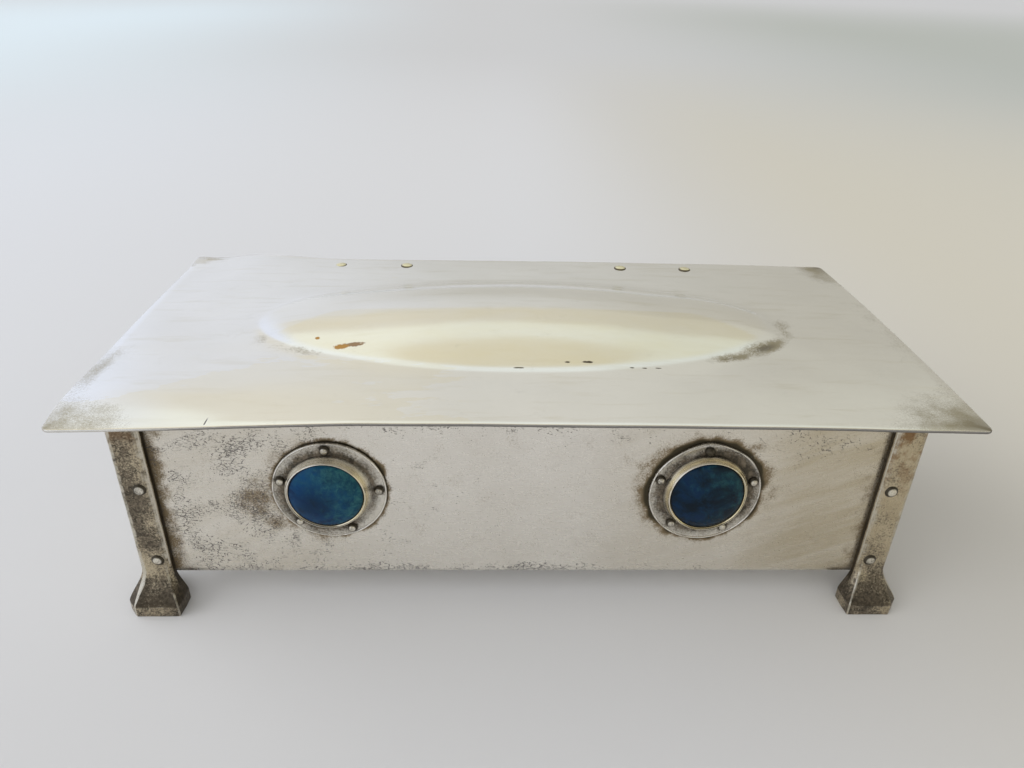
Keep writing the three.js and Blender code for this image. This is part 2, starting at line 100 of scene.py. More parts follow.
# %% [markdown]
# ## Mesh helpers
# Most pieces here are lofts or turned shapes: a stack of rings with equal numbers of points, joined by
# quads. One function builds that mesh, closes its ends and turns its faces outwards. The finish needs to
# know where a piece is worn or dirty, so another function stores a number on each point for the material
# to read.

# %% Build a mesh, and store numbers on its points
WELD = 1e-7


def make_piece(name, points, faces, sharp_angle=40):
    mesh = bpy.data.meshes.new(name)
    mesh.from_pydata(points, [], faces)
    shell = bmesh.new()
    shell.from_mesh(mesh)
    bmesh.ops.remove_doubles(shell, verts=shell.verts, dist=WELD)
    bmesh.ops.recalc_face_normals(shell, faces=shell.faces)
    shell.to_mesh(mesh)
    shell.free()
    mesh.shade_smooth()
    mesh.set_sharp_from_angle(angle=math.radians(sharp_angle))
    piece = bpy.data.objects.new(name, mesh)
    scene.collection.objects.link(piece)
    return piece


def ring_faces(ring_count, count, closed=False):
    """Quads between rings of count points; closed also joins the last ring to the first."""
    faces = []
    for ring in range(ring_count if closed else ring_count - 1):
        here = ring * count
        above = (ring + 1) % ring_count * count
        for i in range(count):
            after = (i + 1) % count
            faces.append((here + i, here + after, above + after, above + i))
    return faces


def capped(rings):
    """Points and faces of a stack of rings with both ends closed."""
    count = len(rings[0])
    points = [point for ring in rings for point in ring]
    faces = ring_faces(len(rings), count)
    faces += [tuple(range(count)), tuple(range(len(points) - count, len(points)))]
    return points, faces


def loft(name, rings, sharp_angle=40):
    return make_piece(name, *capped(rings), sharp_angle)


def store(mesh, name, values):
    mesh.attributes.new(name, "FLOAT", "POINT").data.foreach_set("value", values)


def paint(piece, **values_at):
    """Stores a number on each point under each name, from a rule for the point's place."""
    for name, value_at in values_at.items():
        store(piece.data, name, [value_at(vertex.co) for vertex in piece.data.vertices])


def smooth(value, low, high):
    """0 at low and 1 at high, with a soft start and end."""
    share = min(1, max(0, (value - low) / (high - low)))
    return share * share * (3 - 2 * share)


def ripple(place, size, seed):
    """Smooth noise from -1 to 1 with features of about that size."""
    return noise.noise(place / size + Vector((seed, seed * 1.7, seed * 2.3)))


def install(piece, body, slot, material, *nodes):
    """Gives a piece its finish and its body, and hides the solids that it stands for."""
    if material:
        piece.data.materials.append(material)
    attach(piece, body)
    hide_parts(*nodes)
    print(piece.name, "points:", len(piece.data.vertices), "stands for:", len(nodes))


print("mesh helpers ready")

# %% [markdown]
# ## Node helpers
# A finish is a tree of many small nodes. Written out one by one they hide what the tree does, so a small
# class adds a node, sets it and links it in one line.

# %% Add and link nodes in one line
class Board:
    """A node tree with short ways to add nodes to it."""

    def __init__(self, tree):
        self.tree = tree

    def feed(self, socket, value):
        """Links or sets a socket. A colour may be given as red, green and blue only."""
        if isinstance(value, bpy.types.NodeSocket):
            self.tree.links.new(value, socket)
        elif socket.type == "RGBA" and len(value) == 3:
            socket.default_value = (*value, 1.0)
        else:
            socket.default_value = value

    def add(self, kind, inputs=None, **settings):
        made = self.tree.nodes.new(kind)
        for name, value in settings.items():
            setattr(made, name, value)
        for key, value in (inputs or {}).items():
            self.feed(made.inputs[key], value)
        return made

    def maths(self, operation, first, second=0.5, third=0.5, clamp=False):
        inputs = {0: first, 1: second, 2: third}
        return self.add("ShaderNodeMath", inputs, operation=operation, use_clamp=clamp).outputs[0]

    def times(self, first, second, clamp=False):
        return self.maths("MULTIPLY", first, second, clamp=clamp)

    def plus(self, first, second):
        return self.maths("ADD", first, second)

    def minus(self, first, second, clamp=False):
        return self.maths("SUBTRACT", first, second, clamp=clamp)

    def larger(self, first, second):
        return self.maths("MAXIMUM", first, second)

    def scaled(self, value, factor, start):
        """A value times a factor, added to a start."""
        return self.maths("MULTIPLY_ADD", value, factor, start)

    def uneven(self, level, grain, strength):
        """A level made uneven by a noise, which is 0.5 on the average."""
        return self.scaled(self.minus(grain, 0.5), strength, level)

    def split(self, vector):
        return self.add("ShaderNodeSeparateXYZ", {0: vector}).outputs

    def resize(self, vector, factor):
        inputs = {0: vector, "Scale": factor}
        return self.add("ShaderNodeVectorMath", inputs, operation="SCALE").outputs["Vector"]

    def vectors(self, operation, first, second=(0, 0, 0)):
        made = self.add("ShaderNodeVectorMath", {0: first, 1: second}, operation=operation)
        return made.outputs["Value" if operation in ("LENGTH", "DOT_PRODUCT") else "Vector"]

    def fade(self, value, low, high):
        inputs = {"Value": value, "From Min": low, "From Max": high}
        return self.add("ShaderNodeMapRange", inputs, interpolation_type="SMOOTHSTEP").outputs["Result"]

    def mix(self, share, first, second):
        return self.add("ShaderNodeMix", {0: share, 6: first, 7: second}, data_type="RGBA").outputs[2]

    def noise(self, vector, scale, detail=2.0, roughness=0.5, distortion=0.0):
        inputs = {"Vector": vector, "Scale": scale, "Detail": detail, "Roughness": roughness}
        inputs["Distortion"] = distortion
        return self.add("ShaderNodeTexNoise", inputs).outputs["Fac"]

    def attribute(self, name):
        return self.add("ShaderNodeAttribute", attribute_name=name).outputs["Fac"]

    def use(self, tree, **inputs):
        made = self.tree.nodes.new("ShaderNodeGroup")
        made.node_tree = tree
        for key, value in inputs.items():
            self.feed(made.inputs[key.replace("_", " ").title()], value)
        return made.outputs


SOCKETS = {float: "NodeSocketFloat", 3: "NodeSocketVector", 4: "NodeSocketColor"}


def new_group(name, inputs, outputs):
    """A shader group whose inputs come with their usual values. Gives its board and its two ends."""
    tree = bpy.data.node_groups.new(name, "ShaderNodeTree")
    for label, value in inputs.items():
        kind = SOCKETS[float if isinstance(value, float) else len(value)]
        tree.interface.new_socket(label, in_out="INPUT", socket_type=kind).default_value = value
    for label, kind in outputs.items():
        tree.interface.new_socket(label, in_out="OUTPUT", socket_type=SOCKETS[kind])
    board = Board(tree)
    return board, board.add("NodeGroupInput").outputs, board.add("NodeGroupOutput").inputs


print("node helpers ready")

# %% [markdown]
# ## Marks that every worn metal here shares
# Old silver plate shows the same few marks everywhere, only more or less of them: grains of dark tarnish,
# short crooked pits where the plate has lifted, and hairlines from years of polishing. Each is a shader
# group with its own size and amount, so that all the metals age in the same way.

# %% Grains of tarnish, pits and hairlines
board, given, result = new_group("tarnish_grains", {
    "Vector": (0.0, 0.0, 0.0), "Grain": 0.5 * MM, "Amount": 0.5, "Contrast": 1.5}, {"Mask": float})
fine = board.maths("DIVIDE", 1.0, given["Grain"])
cloud = board.noise(given["Vector"], board.times(fine, 0.06), 4.0, 0.6)
grain = board.noise(given["Vector"], fine, 3.0, 0.7)
uneven = board.minus(board.plus(cloud, grain), 1.0)
level = board.scaled(uneven, given["Contrast"], given["Amount"])
board.feed(result["Mask"], board.fade(level, 0.12, 0.95))
TARNISH_GRAINS = board.tree

board, given, result = new_group("crooked_pits", {
    "Vector": (0.0, 0.0, 0.0), "Length": 1.3 * MM, "Amount": 0.3}, {"Mask": float})
fine = board.maths("DIVIDE", 1.0, given["Length"])
wander = board.add("ShaderNodeTexNoise", {
    "Vector": given["Vector"], "Scale": board.times(fine, 0.9)}).outputs["Color"]
wander = board.vectors("SUBTRACT", wander, (0.5, 0.5, 0.5))
bend = board.resize(wander, given["Length"])
flat = board.vectors("MULTIPLY", board.vectors("ADD", given["Vector"], bend), (0.5, 0.5, 1.15))
cells = board.add("ShaderNodeTexVoronoi", {"Vector": flat, "Scale": fine}, feature="DISTANCE_TO_EDGE")
crack = board.fade(cells.outputs["Distance"], 0.085, 0.04)
apart = board.vectors("ADD", given["Vector"], (0.1, 0.2, 0.3))
breaks = board.noise(apart, board.times(fine, 1.8), 2.0, 0.6)
patch = board.noise(given["Vector"], board.times(fine, 0.1), 5.0, 0.68)
level = board.uneven(given["Amount"], patch, 3.6)
level = board.uneven(level, breaks, 2.0)
board.feed(result["Mask"], board.times(crack, board.fade(level, 0.5, 0.7)))
CROOKED_PITS = board.tree

board, given, result = new_group("hairlines", {
    "Vector": (0.0, 0.0, 0.0), "Stretch": (1.0, 12.0, 12.0)}, {"Value": float})
stretched = board.vectors("MULTIPLY", given["Vector"], given["Stretch"])
long_lines = board.noise(stretched, 160.0, 4.0, 0.65)
cross_lines = board.noise(board.vectors("MULTIPLY", stretched, (4.0, 0.5, 0.5)), 210.0, 3.0, 0.6)
share = board.times(long_lines, 0.7)
board.feed(result["Value"], board.scaled(cross_lines, 0.3, share))
HAIRLINES = board.tree
print("groups:", [tree.name for tree in (TARNISH_GRAINS, CROOKED_PITS, HAIRLINES)])

# %% [markdown]
# ## Spots and strokes
# Some marks have one place: a worn spot where the copper shows, a scratch near the lid's edge, a smear.
# They could be painted on the mesh, but its points are too far apart for a scratch. These groups draw
# them by their distance from a point or a line instead, with a ragged rim.

# %% Marks with one place
board, given, result = new_group("worn_spot", {
    "Vector": (0.0, 0.0, 0.0), "Centre": (0.0, 0.0, 0.0), "Reach": (MM, MM, MM), "Ragged": 0.5},
    {"Mask": float})
offset = board.vectors("SUBTRACT", given["Vector"], given["Centre"])
distance = board.vectors("LENGTH", board.vectors("DIVIDE", offset, given["Reach"]))
ragged = board.uneven(distance, board.noise(given["Vector"], 1100.0, 4.0, 0.6), given["Ragged"])
board.feed(result["Mask"], board.fade(ragged, 1.2, 0.7))
WORN_SPOT = board.tree

board, given, result = new_group("stroke", {
    "Vector": (0.0, 0.0, 0.0), "Start": (0.0, 0.0, 0.0), "End": (MM, 0.0, 0.0), "Width": 0.2 * MM},
    {"Mask": float})
along = board.vectors("SUBTRACT", given["End"], given["Start"])
offset = board.vectors("SUBTRACT", given["Vector"], given["Start"])
span = board.vectors("DOT_PRODUCT", along, along)
share = board.maths("DIVIDE", board.vectors("DOT_PRODUCT", offset, along), span, clamp=True)
nearest = board.resize(along, share)
distance = board.vectors("LENGTH", board.vectors("SUBTRACT", offset, nearest))
board.feed(result["Mask"], board.fade(board.maths("DIVIDE", distance, given["Width"]), 1.0, 0.4))
STROKE = board.tree

# A ragged dark ring round a centre: dirt and painted shade where a setting meets the wall.
board, given, result = new_group("dirt_and_shade_ring", {
    "Vector": (0.0, 0.0, 0.0), "Centre": (0.0, 0.0, 0.0), "Radius": 10.0 * MM, "Width": MM, "Ragged": MM},
    {"Mask": float})
offset = board.vectors("SUBTRACT", given["Vector"], given["Centre"])
offset = board.vectors("MULTIPLY", offset, (1.0, 0.0, 1.0))
gap = board.minus(board.vectors("LENGTH", offset), given["Radius"])
rag = board.minus(board.noise(given["Vector"], 420.0, 5.0, 0.62), 0.52)
gap = board.scaled(rag, given["Ragged"], gap)
board.feed(result["Mask"], board.fade(board.maths("DIVIDE", gap, given["Width"]), 1.0, 0.1))
DIRT_AND_SHADE_RING = board.tree
print("groups:", WORN_SPOT.name, STROKE.name, DIRT_AND_SHADE_RING.name)

# %% [markdown]
# ## Worn plate
# Every silver piece is the same stack: bare plate, a thin warm film over it, dark tarnish over that,
# bright metal where hands and cloths rub it, and pits through all of it. The stack is one group. Each
# material below only says how much of each layer it has, and in which colours.

# %% The layers of worn plate
PIT = (0.075, 0.068, 0.066)
board, given, result = new_group("worn_plate", {
    "Bare": (0.9, 0.89, 0.86, 1.0), "Film": (0.9, 0.86, 0.7, 1.0), "Tarnish": (0.3, 0.25, 0.17, 1.0),
    "Wear": (0.95, 0.92, 0.85, 1.0), "Film Mask": 0.0, "Tarnish Mask": 0.0, "Wear Mask": 0.0,
    "Pit Mask": 0.0, "Hairlines": 0.5, "Polish": 0.2},
    {"Colour": 4, "Roughness": float, "Metallic": float, "Height": float})
colour = board.mix(given["Film Mask"], given["Bare"], given["Film"])
colour = board.mix(given["Tarnish Mask"], colour, given["Tarnish"])
colour = board.mix(given["Wear Mask"], colour, given["Wear"])
board.feed(result["Colour"], board.mix(given["Pit Mask"], colour, PIT))
lines = board.times(board.minus(given["Hairlines"], 0.5), 0.3)
matt = board.times(given["Tarnish Mask"], 0.22)
matt = board.times(matt, board.minus(1.0, given["Wear Mask"]))
rough = board.plus(given["Polish"], board.plus(lines, matt))
rough = board.plus(rough, board.times(given["Pit Mask"], 0.25))
board.feed(result["Roughness"], board.larger(rough, 0.08))
dull = board.plus(board.times(matt, 1.2), board.times(given["Pit Mask"], 0.5))
board.feed(result["Metallic"], board.minus(1.0, dull, clamp=True))
dips = board.plus(given["Pit Mask"], board.times(given["Tarnish Mask"], 0.12))
ridges = board.times(given["Hairlines"], 0.12)
board.feed(result["Height"], board.minus(ridges, dips))
WORN_PLATE = board.tree
print("group:", WORN_PLATE.name, "layers: film, tarnish, wear, pits")

# %% A material with its shader, and one made of worn plate
def new_material(name, **values):
    material = bpy.data.materials.new(name)
    material.use_nodes = True
    board = Board(material.node_tree)
    shader = material.node_tree.nodes["Principled BSDF"]
    for key, value in values.items():
        shader.inputs[key.replace("_", " ")].default_value = value
    place = board.add("ShaderNodeTexCoord").outputs["Object"]
    return material, board, shader, place


def relief(board, shader, height, depth, strength=1.0):
    bump = board.add("ShaderNodeBump", {"Height": height, "Distance": depth, "Strength": strength})
    board.feed(shader.inputs["Normal"], bump.outputs["Normal"])


def plate(board, shader, depth, **layers):
    made = board.use(WORN_PLATE, **layers)
    board.feed(shader.inputs["Base Color"], made["Colour"])
    board.feed(shader.inputs["Roughness"], made["Roughness"])
    board.feed(shader.inputs["Metallic"], made["Metallic"])
    relief(board, shader, made["Height"], depth)


print("material helpers ready")

# %% [markdown]
# ## The lid's plate
# The lid is the palest piece, polished for a century until it is satin. Tarnish stays where a cloth
# doesn't reach: in the corners and in the crease round the dome, where painted shade darkens its two
# ends too. A warm film lies over the front left, and a warm film with a painted reflection over the near
# half of the dome. A few spots on the dome are worn through, there is a short scratch near the front edge,
# and painted shade darkens the lower half of the edge.

# %% Lid silver
OCHRE = (0.46, 0.25, 0.08)
BRONZE = (0.33, 0.215, 0.13)
DARK = (0.13, 0.11, 0.085)
# Place and reach of each spot in mm, across and along, and the colour that shows through
lid_spots = [
    (-51.4, -21.0, 3.4, 1.1, BRONZE), (-55.4, -21.7, 2.5, 1.2, OCHRE), (-63.4, -16.7, 0.9, 0.7, OCHRE),
    (19.9, -30.6, 1.9, 0.5, DARK), (13.6, -30.9, 0.9, 0.35, DARK), (-1.0, -33.6, 1.6, 0.3, DARK),
    (33.0, -32.4, 0.8, 0.3, DARK), (36.8, -32.4, 0.7, 0.3, DARK), (41.0, -32.1, 0.9, 0.25, DARK)]
SPOT_HEIGHT = 78.0
SPOT_REACH_UP = 9.0
SPOT_RAGGED = 1.3
FINE_GRAIN = 0.42 * MM
SCRATCH_START = Vector((-84.5, -62.4, 74.4)) * MM
SCRATCH_END = Vector((-84.2, -58.3, 74.5)) * MM


def lid_silver():
    material, board, shader, place = new_material("lid_silver")
    drift = board.noise(place, 38.0, 6.0, 0.62)
    brushed = board.noise(board.vectors("MULTIPLY", place, (0.25, 1.6, 1.0)), 170.0, 6.0, 0.6, 0.3)
    bare = board.mix(drift, (0.83, 0.825, 0.815), (0.95, 0.945, 0.935))
    bare = board.mix(board.fade(brushed, 0.50, 0.75), bare, (0.84, 0.825, 0.785))
    flecks = board.noise(board.vectors("MULTIPLY", place, (0.8, 2.0, 1.0)), 62.0, 6.0, 0.6)
    # On the near half of the dome the film is partly a painted reflection.
    film = board.times(board.attribute("film"), board.scaled(flecks, 1.2, 0.4))
    streaks = board.noise(board.vectors("MULTIPLY", place, (0.4, 1.2, 1.0)), 85.0, 7.0, 0.66)
    cream = board.uneven(board.attribute("cream"), streaks, 2.6)
    film = board.larger(film, board.times(board.fade(cream, 0.47, 0.53), 0.36))
    grime = board.attribute("grime")
    contrast = board.scaled(board.attribute("speckle"), 2.2, 0.9)
    tarnish = board.use(TARNISH_GRAINS, vector=place, grain=FINE_GRAIN, amount=grime,
                        contrast=contrast)["Mask"]
    dirt = board.mix(board.fade(grime, 0.7, 1.3), (0.34, 0.30, 0.205), (0.15, 0.125, 0.085))
    upper = board.attribute("upper")
    worn_through = 0.0
    for x, y, reach_x, reach_y, colour in lid_spots:
        spot = board.use(WORN_SPOT, vector=place, centre=Vector((x, y, SPOT_HEIGHT)) * MM,
                         reach=Vector((reach_x, reach_y, SPOT_REACH_UP)) * MM, ragged=SPOT_RAGGED)["Mask"]
        spot = board.times(spot, upper)
        bare = board.mix(spot, bare, colour)
        worn_through = board.larger(spot, worn_through)
    film = board.times(film, board.minus(1.0, worn_through))
    scratch = board.use(STROKE, vector=place, start=SCRATCH_START, end=SCRATCH_END, width=0.24 * MM)["Mask"]
    # The scratch, and painted shade along the lower half of the lid's edge, take the pits' dark colour.
    packed = board.larger(scratch, board.times(board.attribute("packed"), 0.9))
    wear = board.times(board.attribute("edge"), 0.85)
    lines = board.use(HAIRLINES, vector=place, stretch=(1.0, 14.0, 14.0))["Value"]
    plate(board, shader, 0.03 * MM, bare=bare, film=(0.87, 0.81, 0.64), tarnish=dirt, film_mask=film,
          tarnish_mask=tarnish, wear_mask=wear, pit_mask=packed, hairlines=lines, polish=0.13)
    return material


LID_SILVER = lid_silver()
print("material:", LID_SILVER.name)

# %% [markdown]
# ## The walls' plate
# The walls were handled less and cleaned less. Their plate has lifted in dense crooked pits, mostly on
# the left half of the front, and brown tarnish lies along the legs and round the settings. Dirt and
# painted shade make a dark line where each leg and setting meets the wall.

# %% Wall silver
SMEAR_START = Vector((79.0, -48.5, 42.2)) * MM
SMEAR_END = Vector((101.0, -48.5, 50.6)) * MM
STREAK_LEAN = 0.42
# Shift across and up, width and raggedness in mm of the ring of dirt and painted shade round each setting
dirt_and_shade_rings = {"left": (0.1, 0.15, 0.45, 0.9), "right": (0.05, 0.1, 0.8, 1.8)}


def setting_dirt_and_shade(board, place):
    """A ragged ring of dirt and painted shade round each setting, thicker where it is shifted."""
    dirt = 0.0
    for side, (shift_x, shift_z, width, ragged) in dirt_and_shade_rings.items():
        centre = setting_centres[side] + Vector((shift_x, 0, shift_z)) * MM
        ring = board.use(DIRT_AND_SHADE_RING, vector=place, centre=centre, radius=FLANGE_RADIUS, width=width * MM,
                         ragged=ragged * MM)["Mask"]
        dirt = board.larger(ring, dirt)
    inner, outer = front_low.y + WALL_SHEET * 0.7, front_low.y + WALL_SHEET * 0.4
    return board.times(dirt, board.fade(board.split(place)["Y"], inner, outer))


def wall_silver():
    material, board, shader, place = new_material("wall_silver")
    drift = board.noise(place, 55.0, 6.0, 0.62)
    bare = board.mix(drift, (0.78, 0.74, 0.67), (0.93, 0.90, 0.835))
    grime = board.attribute("grime")
    tarnish = board.use(TARNISH_GRAINS, vector=place, grain=FINE_GRAIN, amount=grime, contrast=1.5)["Mask"]
    # Dirt and painted shade in a dark ring where each setting meets the wall.
    ring = setting_dirt_and_shade(board, place)
    dark = board.larger(board.fade(grime, 0.75, 1.35), ring)
    dirt = board.mix(dark, (0.22, 0.165, 0.095), (0.05, 0.04, 0.022))
    pitted = board.attribute("pitted")
    pits = board.use(CROOKED_PITS, vector=place, length=1.3 * MM, amount=pitted)["Mask"]
    small = board.use(CROOKED_PITS, vector=place, length=0.8 * MM, amount=pitted)["Mask"]
    pits = board.times(board.larger(pits, small), 0.78)
    turned_place = {"Vector": place, "Angle": STREAK_LEAN}
    lean = board.add("ShaderNodeVectorRotate", turned_place, rotation_type="Y_AXIS").outputs[0]
    streaks = board.noise(board.vectors("MULTIPLY", lean, (0.3, 1.0, 2.4)), 110.0, 5.0, 0.6)
    uneven = board.scaled(board.fade(streaks, 0.30, 0.70), 0.34, 0.58)
    film = board.times(board.attribute("film"), uneven, clamp=True)
    smear = board.use(STROKE, vector=place, start=SMEAR_START, end=SMEAR_END, width=2.6 * MM)["Mask"]
    film = board.larger(film, board.times(smear, board.fade(streaks, 0.35, 0.6)))
    lines = board.use(HAIRLINES, vector=place, stretch=(1.0, 1.0, 9.0))["Value"]
    wear = board.times(board.attribute("edge"), 0.5)
    plate(board, shader, 0.06 * MM, bare=bare, film=(0.56, 0.49, 0.36), tarnish=dirt, film_mask=film,
          tarnish_mask=board.larger(tarnish, ring), wear_mask=wear, hairlines=lines, polish=0.26,
          pit_mask=pits)
    return material


WALL_SILVER = wall_silver()
print("material:", WALL_SILVER.name)

# %% [markdown]
# ## The legs' and settings' plate
# The legs are nearly covered: olive and brown tarnish in coarse grains, with bright ridges where the file
# left an edge, which near the foot are partly painted highlight. Their sides against the wall are darkened
# with painted shade. The settings are grey, dark with tarnish and painted shade in the hollow round the
# collar, and rubbed through to warm metal on the bead and the rim, with a painted highlight on the rim's
# upper left.

# %% Leg silver
def speckled_dirt(board, place, grime, scale, darkest):
    """Tarnish that is speckled, and darker where there is most of it."""
    speckle = board.fade(board.noise(place, scale, 4.0, 0.7), 0.35, 0.68)
    dirt = board.mix(speckle, (0.055, 0.046, 0.033), (0.19, 0.155, 0.11))
    return board.mix(board.fade(grime, 0.95, 1.45), dirt, darkest)


def leg_silver():
    material, board, shader, place = new_material("leg_silver")
    drift = board.noise(place, 110.0, 6.0, 0.65)
    bare = board.mix(drift, (0.42, 0.345, 0.225), (0.66, 0.575, 0.42))
    grime = board.attribute("grime")
    tarnish = board.use(TARNISH_GRAINS, vector=place, grain=0.6 * MM, amount=grime, contrast=2.1)["Mask"]
    dirt = speckled_dirt(board, place, grime, 900.0, (0.045, 0.034, 0.02))
    rust = board.fade(board.noise(place, 260.0, 4.0, 0.6), 0.40, 0.60)
    rust = board.times(board.attribute("film"), rust)
    dirt = board.mix(rust, dirt, (0.19, 0.105, 0.05))
    rubbed = board.noise(place, 420.0, 4.0, 0.65)
    wear = board.fade(board.uneven(board.attribute("edge"), rubbed, 1.0), 0.35, 0.80)
    lines = board.use(HAIRLINES, vector=place, stretch=(6.0, 6.0, 1.0))["Value"]
    plate(board, shader, 0.07 * MM, bare=bare, film=(0.26, 0.165, 0.085), tarnish=dirt,
          wear=(0.62, 0.575, 0.475), film_mask=rust, tarnish_mask=tarnish, wear_mask=wear,
          hairlines=lines, polish=0.27)
    return material


# %% Setting silver, and the brighter silver of rivet heads
def setting_silver():
    material, board, shader, place = new_material("setting_silver")
    drift = board.noise(place, 190.0, 5.0, 0.6)
    bare = board.mix(drift, (0.60, 0.56, 0.48), (0.82, 0.79, 0.71))
    grime = board.attribute("grime")
    tarnish = board.use(TARNISH_GRAINS, vector=place, grain=0.55 * MM, amount=grime, contrast=1.1)["Mask"]
    dirt = speckled_dirt(board, place, grime, 700.0, (0.035, 0.03, 0.02))
    rubbed = board.noise(place, 260.0, 3.0, 0.6)
    wear = board.times(board.attribute("edge"), board.fade(rubbed, 0.30, 0.55))
    lines = board.use(HAIRLINES, vector=place, stretch=(4.0, 4.0, 4.0))["Value"]
    plate(board, shader, 0.04 * MM, bare=bare, film=(0.86, 0.72, 0.40), tarnish=dirt,
          film_mask=board.attribute("film"), tarnish_mask=tarnish, wear_mask=wear, hairlines=lines,
          polish=0.2)
    return material


def rivet_silver():
    material, board, shader, place = new_material("rivet_silver")
    drift = board.noise(place, 420.0, 4.0, 0.6)
    bare = board.mix(drift, (0.62, 0.57, 0.46), (0.92, 0.88, 0.78))
    # A dark rim round the foot of each head: tarnish and painted shade where the head meets the plate.
    rim = board.fade(board.attribute("rim"), 0.48, 0.74)
    amount = board.plus(board.attribute("stain"), 0.4)
    tarnish = board.use(TARNISH_GRAINS, vector=place, grain=0.6 * MM, amount=amount)["Mask"]
    tarnish = board.larger(rim, tarnish)
    lines = board.use(HAIRLINES, vector=place, stretch=(5.0, 5.0, 5.0))["Value"]
    plate(board, shader, 0.02 * MM, bare=bare, tarnish=(0.06, 0.05, 0.034), tarnish_mask=tarnish,
          hairlines=lines, polish=0.13)
    return material


LEG_SILVER = leg_silver()
SETTING_SILVER = setting_silver()
RIVET_SILVER = rivet_silver()
print("materials:", LEG_SILVER.name, SETTING_SILVER.name, RIVET_SILVER.name)

# %% [markdown]
# ## Brass, glaze and velvet
# The hinge rivets and pins are brass. The cabochons are pottery under a thick clouded glaze, blue running
# into teal, so their colour is mottled and their surface is as smooth as glass. The pad is cut velvet:
# its pile lies in slightly different ways, and that is what makes the lighter and darker patches.

# %% Brass
def brass():
    material, board, shader, place = new_material("brass")
    drift = board.noise(place, 500.0, 4.0, 0.6)
    bare = board.mix(drift, (0.76, 0.70, 0.46), (0.93, 0.89, 0.68))
    # A dark rim round the foot of each head: tarnish and painted shade where the head meets the plate.
    rim = board.fade(board.attribute("rim"), 0.72, 0.92)
    tarnish = board.use(TARNISH_GRAINS, vector=place, grain=0.5 * MM, amount=0.12)["Mask"]
    tarnish = board.larger(rim, tarnish)
    lines = board.use(HAIRLINES, vector=place, stretch=(5.0, 5.0, 5.0))["Value"]
    plate(board, shader, 0.03 * MM, bare=bare, tarnish=(0.10, 0.08, 0.05), tarnish_mask=tarnish,
          hairlines=lines, polish=0.2)
    return material


# %% Clouded blue glaze
def blue_glaze():
    material, board, shader, place = new_material(
        "blue_glaze", Roughness=0.06, IOR=1.45, Specular_IOR_Level=0.2)
    cloud = board.noise(place, 150.0, 6.0, 0.66, 0.6)
    streak = board.noise(board.vectors("MULTIPLY", place, (1.3, 1.0, 1.1)), 420.0, 5.0, 0.72, 0.5)
    teal = board.uneven(board.attribute("teal"), streak, 1.1)
    deep = board.uneven(board.attribute("deep"), cloud, 2.0)
    blue = board.mix(board.fade(cloud, 0.30, 0.70), (0.0, 0.013, 0.048), (0.002, 0.052, 0.145))
    green = board.mix(board.fade(streak, 0.30, 0.70), (0.001, 0.034, 0.050), (0.022, 0.098, 0.105))
    colour = board.mix(board.fade(teal, 0.05, 0.95), blue, green)
    colour = board.mix(board.fade(deep, 0.20, 1.05), colour, (0.001, 0.006, 0.012))
    # Painted shade: a near-black line round the stone's edge where it sits under the lip.
    colour = board.mix(board.attribute("gap"), colour, (0.004, 0.004, 0.004))
    board.feed(shader.inputs["Base Color"], colour)
    relief(board, shader, board.noise(place, 260.0, 2.0), 0.04 * MM)
    return material


# %% Cut velvet
def velvet():
    material, board, shader, place = new_material(
        "velvet", Roughness=0.95, Sheen_Weight=0.7, Sheen_Roughness=0.35, Sheen_Tint=(0.75, 0.30, 0.36, 1.0))
    nap = board.noise(place, 55.0, 4.0, 0.6, 0.5)
    pile = board.noise(place, 2600.0, 2.0, 0.7)
    colour = board.mix(board.fade(nap, 0.35, 0.65), (0.075, 0.008, 0.018), (0.15, 0.02, 0.04))
    colour = board.mix(board.times(pile, 0.5), colour, (0.035, 0.003, 0.008))
    board.feed(shader.inputs["Base Color"], colour)
    relief(board, shader, pile, 0.25 * MM, 0.8)
    return material


BRASS = brass()
BLUE_GLAZE = blue_glaze()
VELVET = velvet()
print("materials:", BRASS.name, BLUE_GLAZE.name, VELVET.name)

# %% [markdown]
# ## The lid
# The lid is one sheet, crowned a little, with an oval dome raised in it. It could be a flat grid pushed
# up by a formula, but then the crease round the dome would cut across the grid and look like a saw. Here
# the points lie in rings instead: ovals inside the dome, then rings that square themselves out to the
# edge. The crease and the edge each fall exactly on a ring.

# %% The lid's rule for height
LID_SHEET = 1.0 * MM
LID_CROWN = 1.1 * MM
LID_CORNER = 2.3 * MM
DOME_X = 86.0 * MM
DOME_Y = 35.8 * MM
DOME_RISE = 7.2 * MM
DOME_SETBACK = 1.5 * MM
CREASE_FRONT = 0.19
CREASE_BACK = 0.10
CREASE_END = 0.05
END_FULLNESS = 0.32
lid_x, lid_y = lid_high.x, lid_high.y
dome_middle = DOME_RISE + LID_CROWN * (1 - (DOME_SETBACK / lid_y) ** 2)
lid_edge_z = lid_high.z - dome_middle

HUMP_X = -102 * MM
HUMP_LEFT = 13.5 * MM
HUMP_RIGHT = 24 * MM
HUMP_RISE = 2.1 * MM
FOLD_FROM = Vector((-127.0, 52.0)) * MM
FOLD_TO = Vector((-112.7, 63.5)) * MM
FOLD_SLOPE = 0.16
EDGE_LIFT = 0.8 * MM
EDGE_DROOP = 1.75 * MM
BEND_LINE = 49 * MM
LID_WAVE = 0.13 * MM
LONG_WAVE = 38 * MM
SHORT_WAVE = 15 * MM


def in_dome(x, y):
    """1 at the dome's middle, 0 along its crease and less outside it."""
    return 1 - (x / DOME_X) ** 2 - ((y - DOME_SETBACK) / DOME_Y) ** 2


def past_fold(x, y):
    """How far a place lies past the fold across the back left corner."""
    along = (FOLD_TO - FOLD_FROM).normalized()
    return (Vector((x, y)) - FOLD_FROM).dot(Vector((-along.y, along.x)))


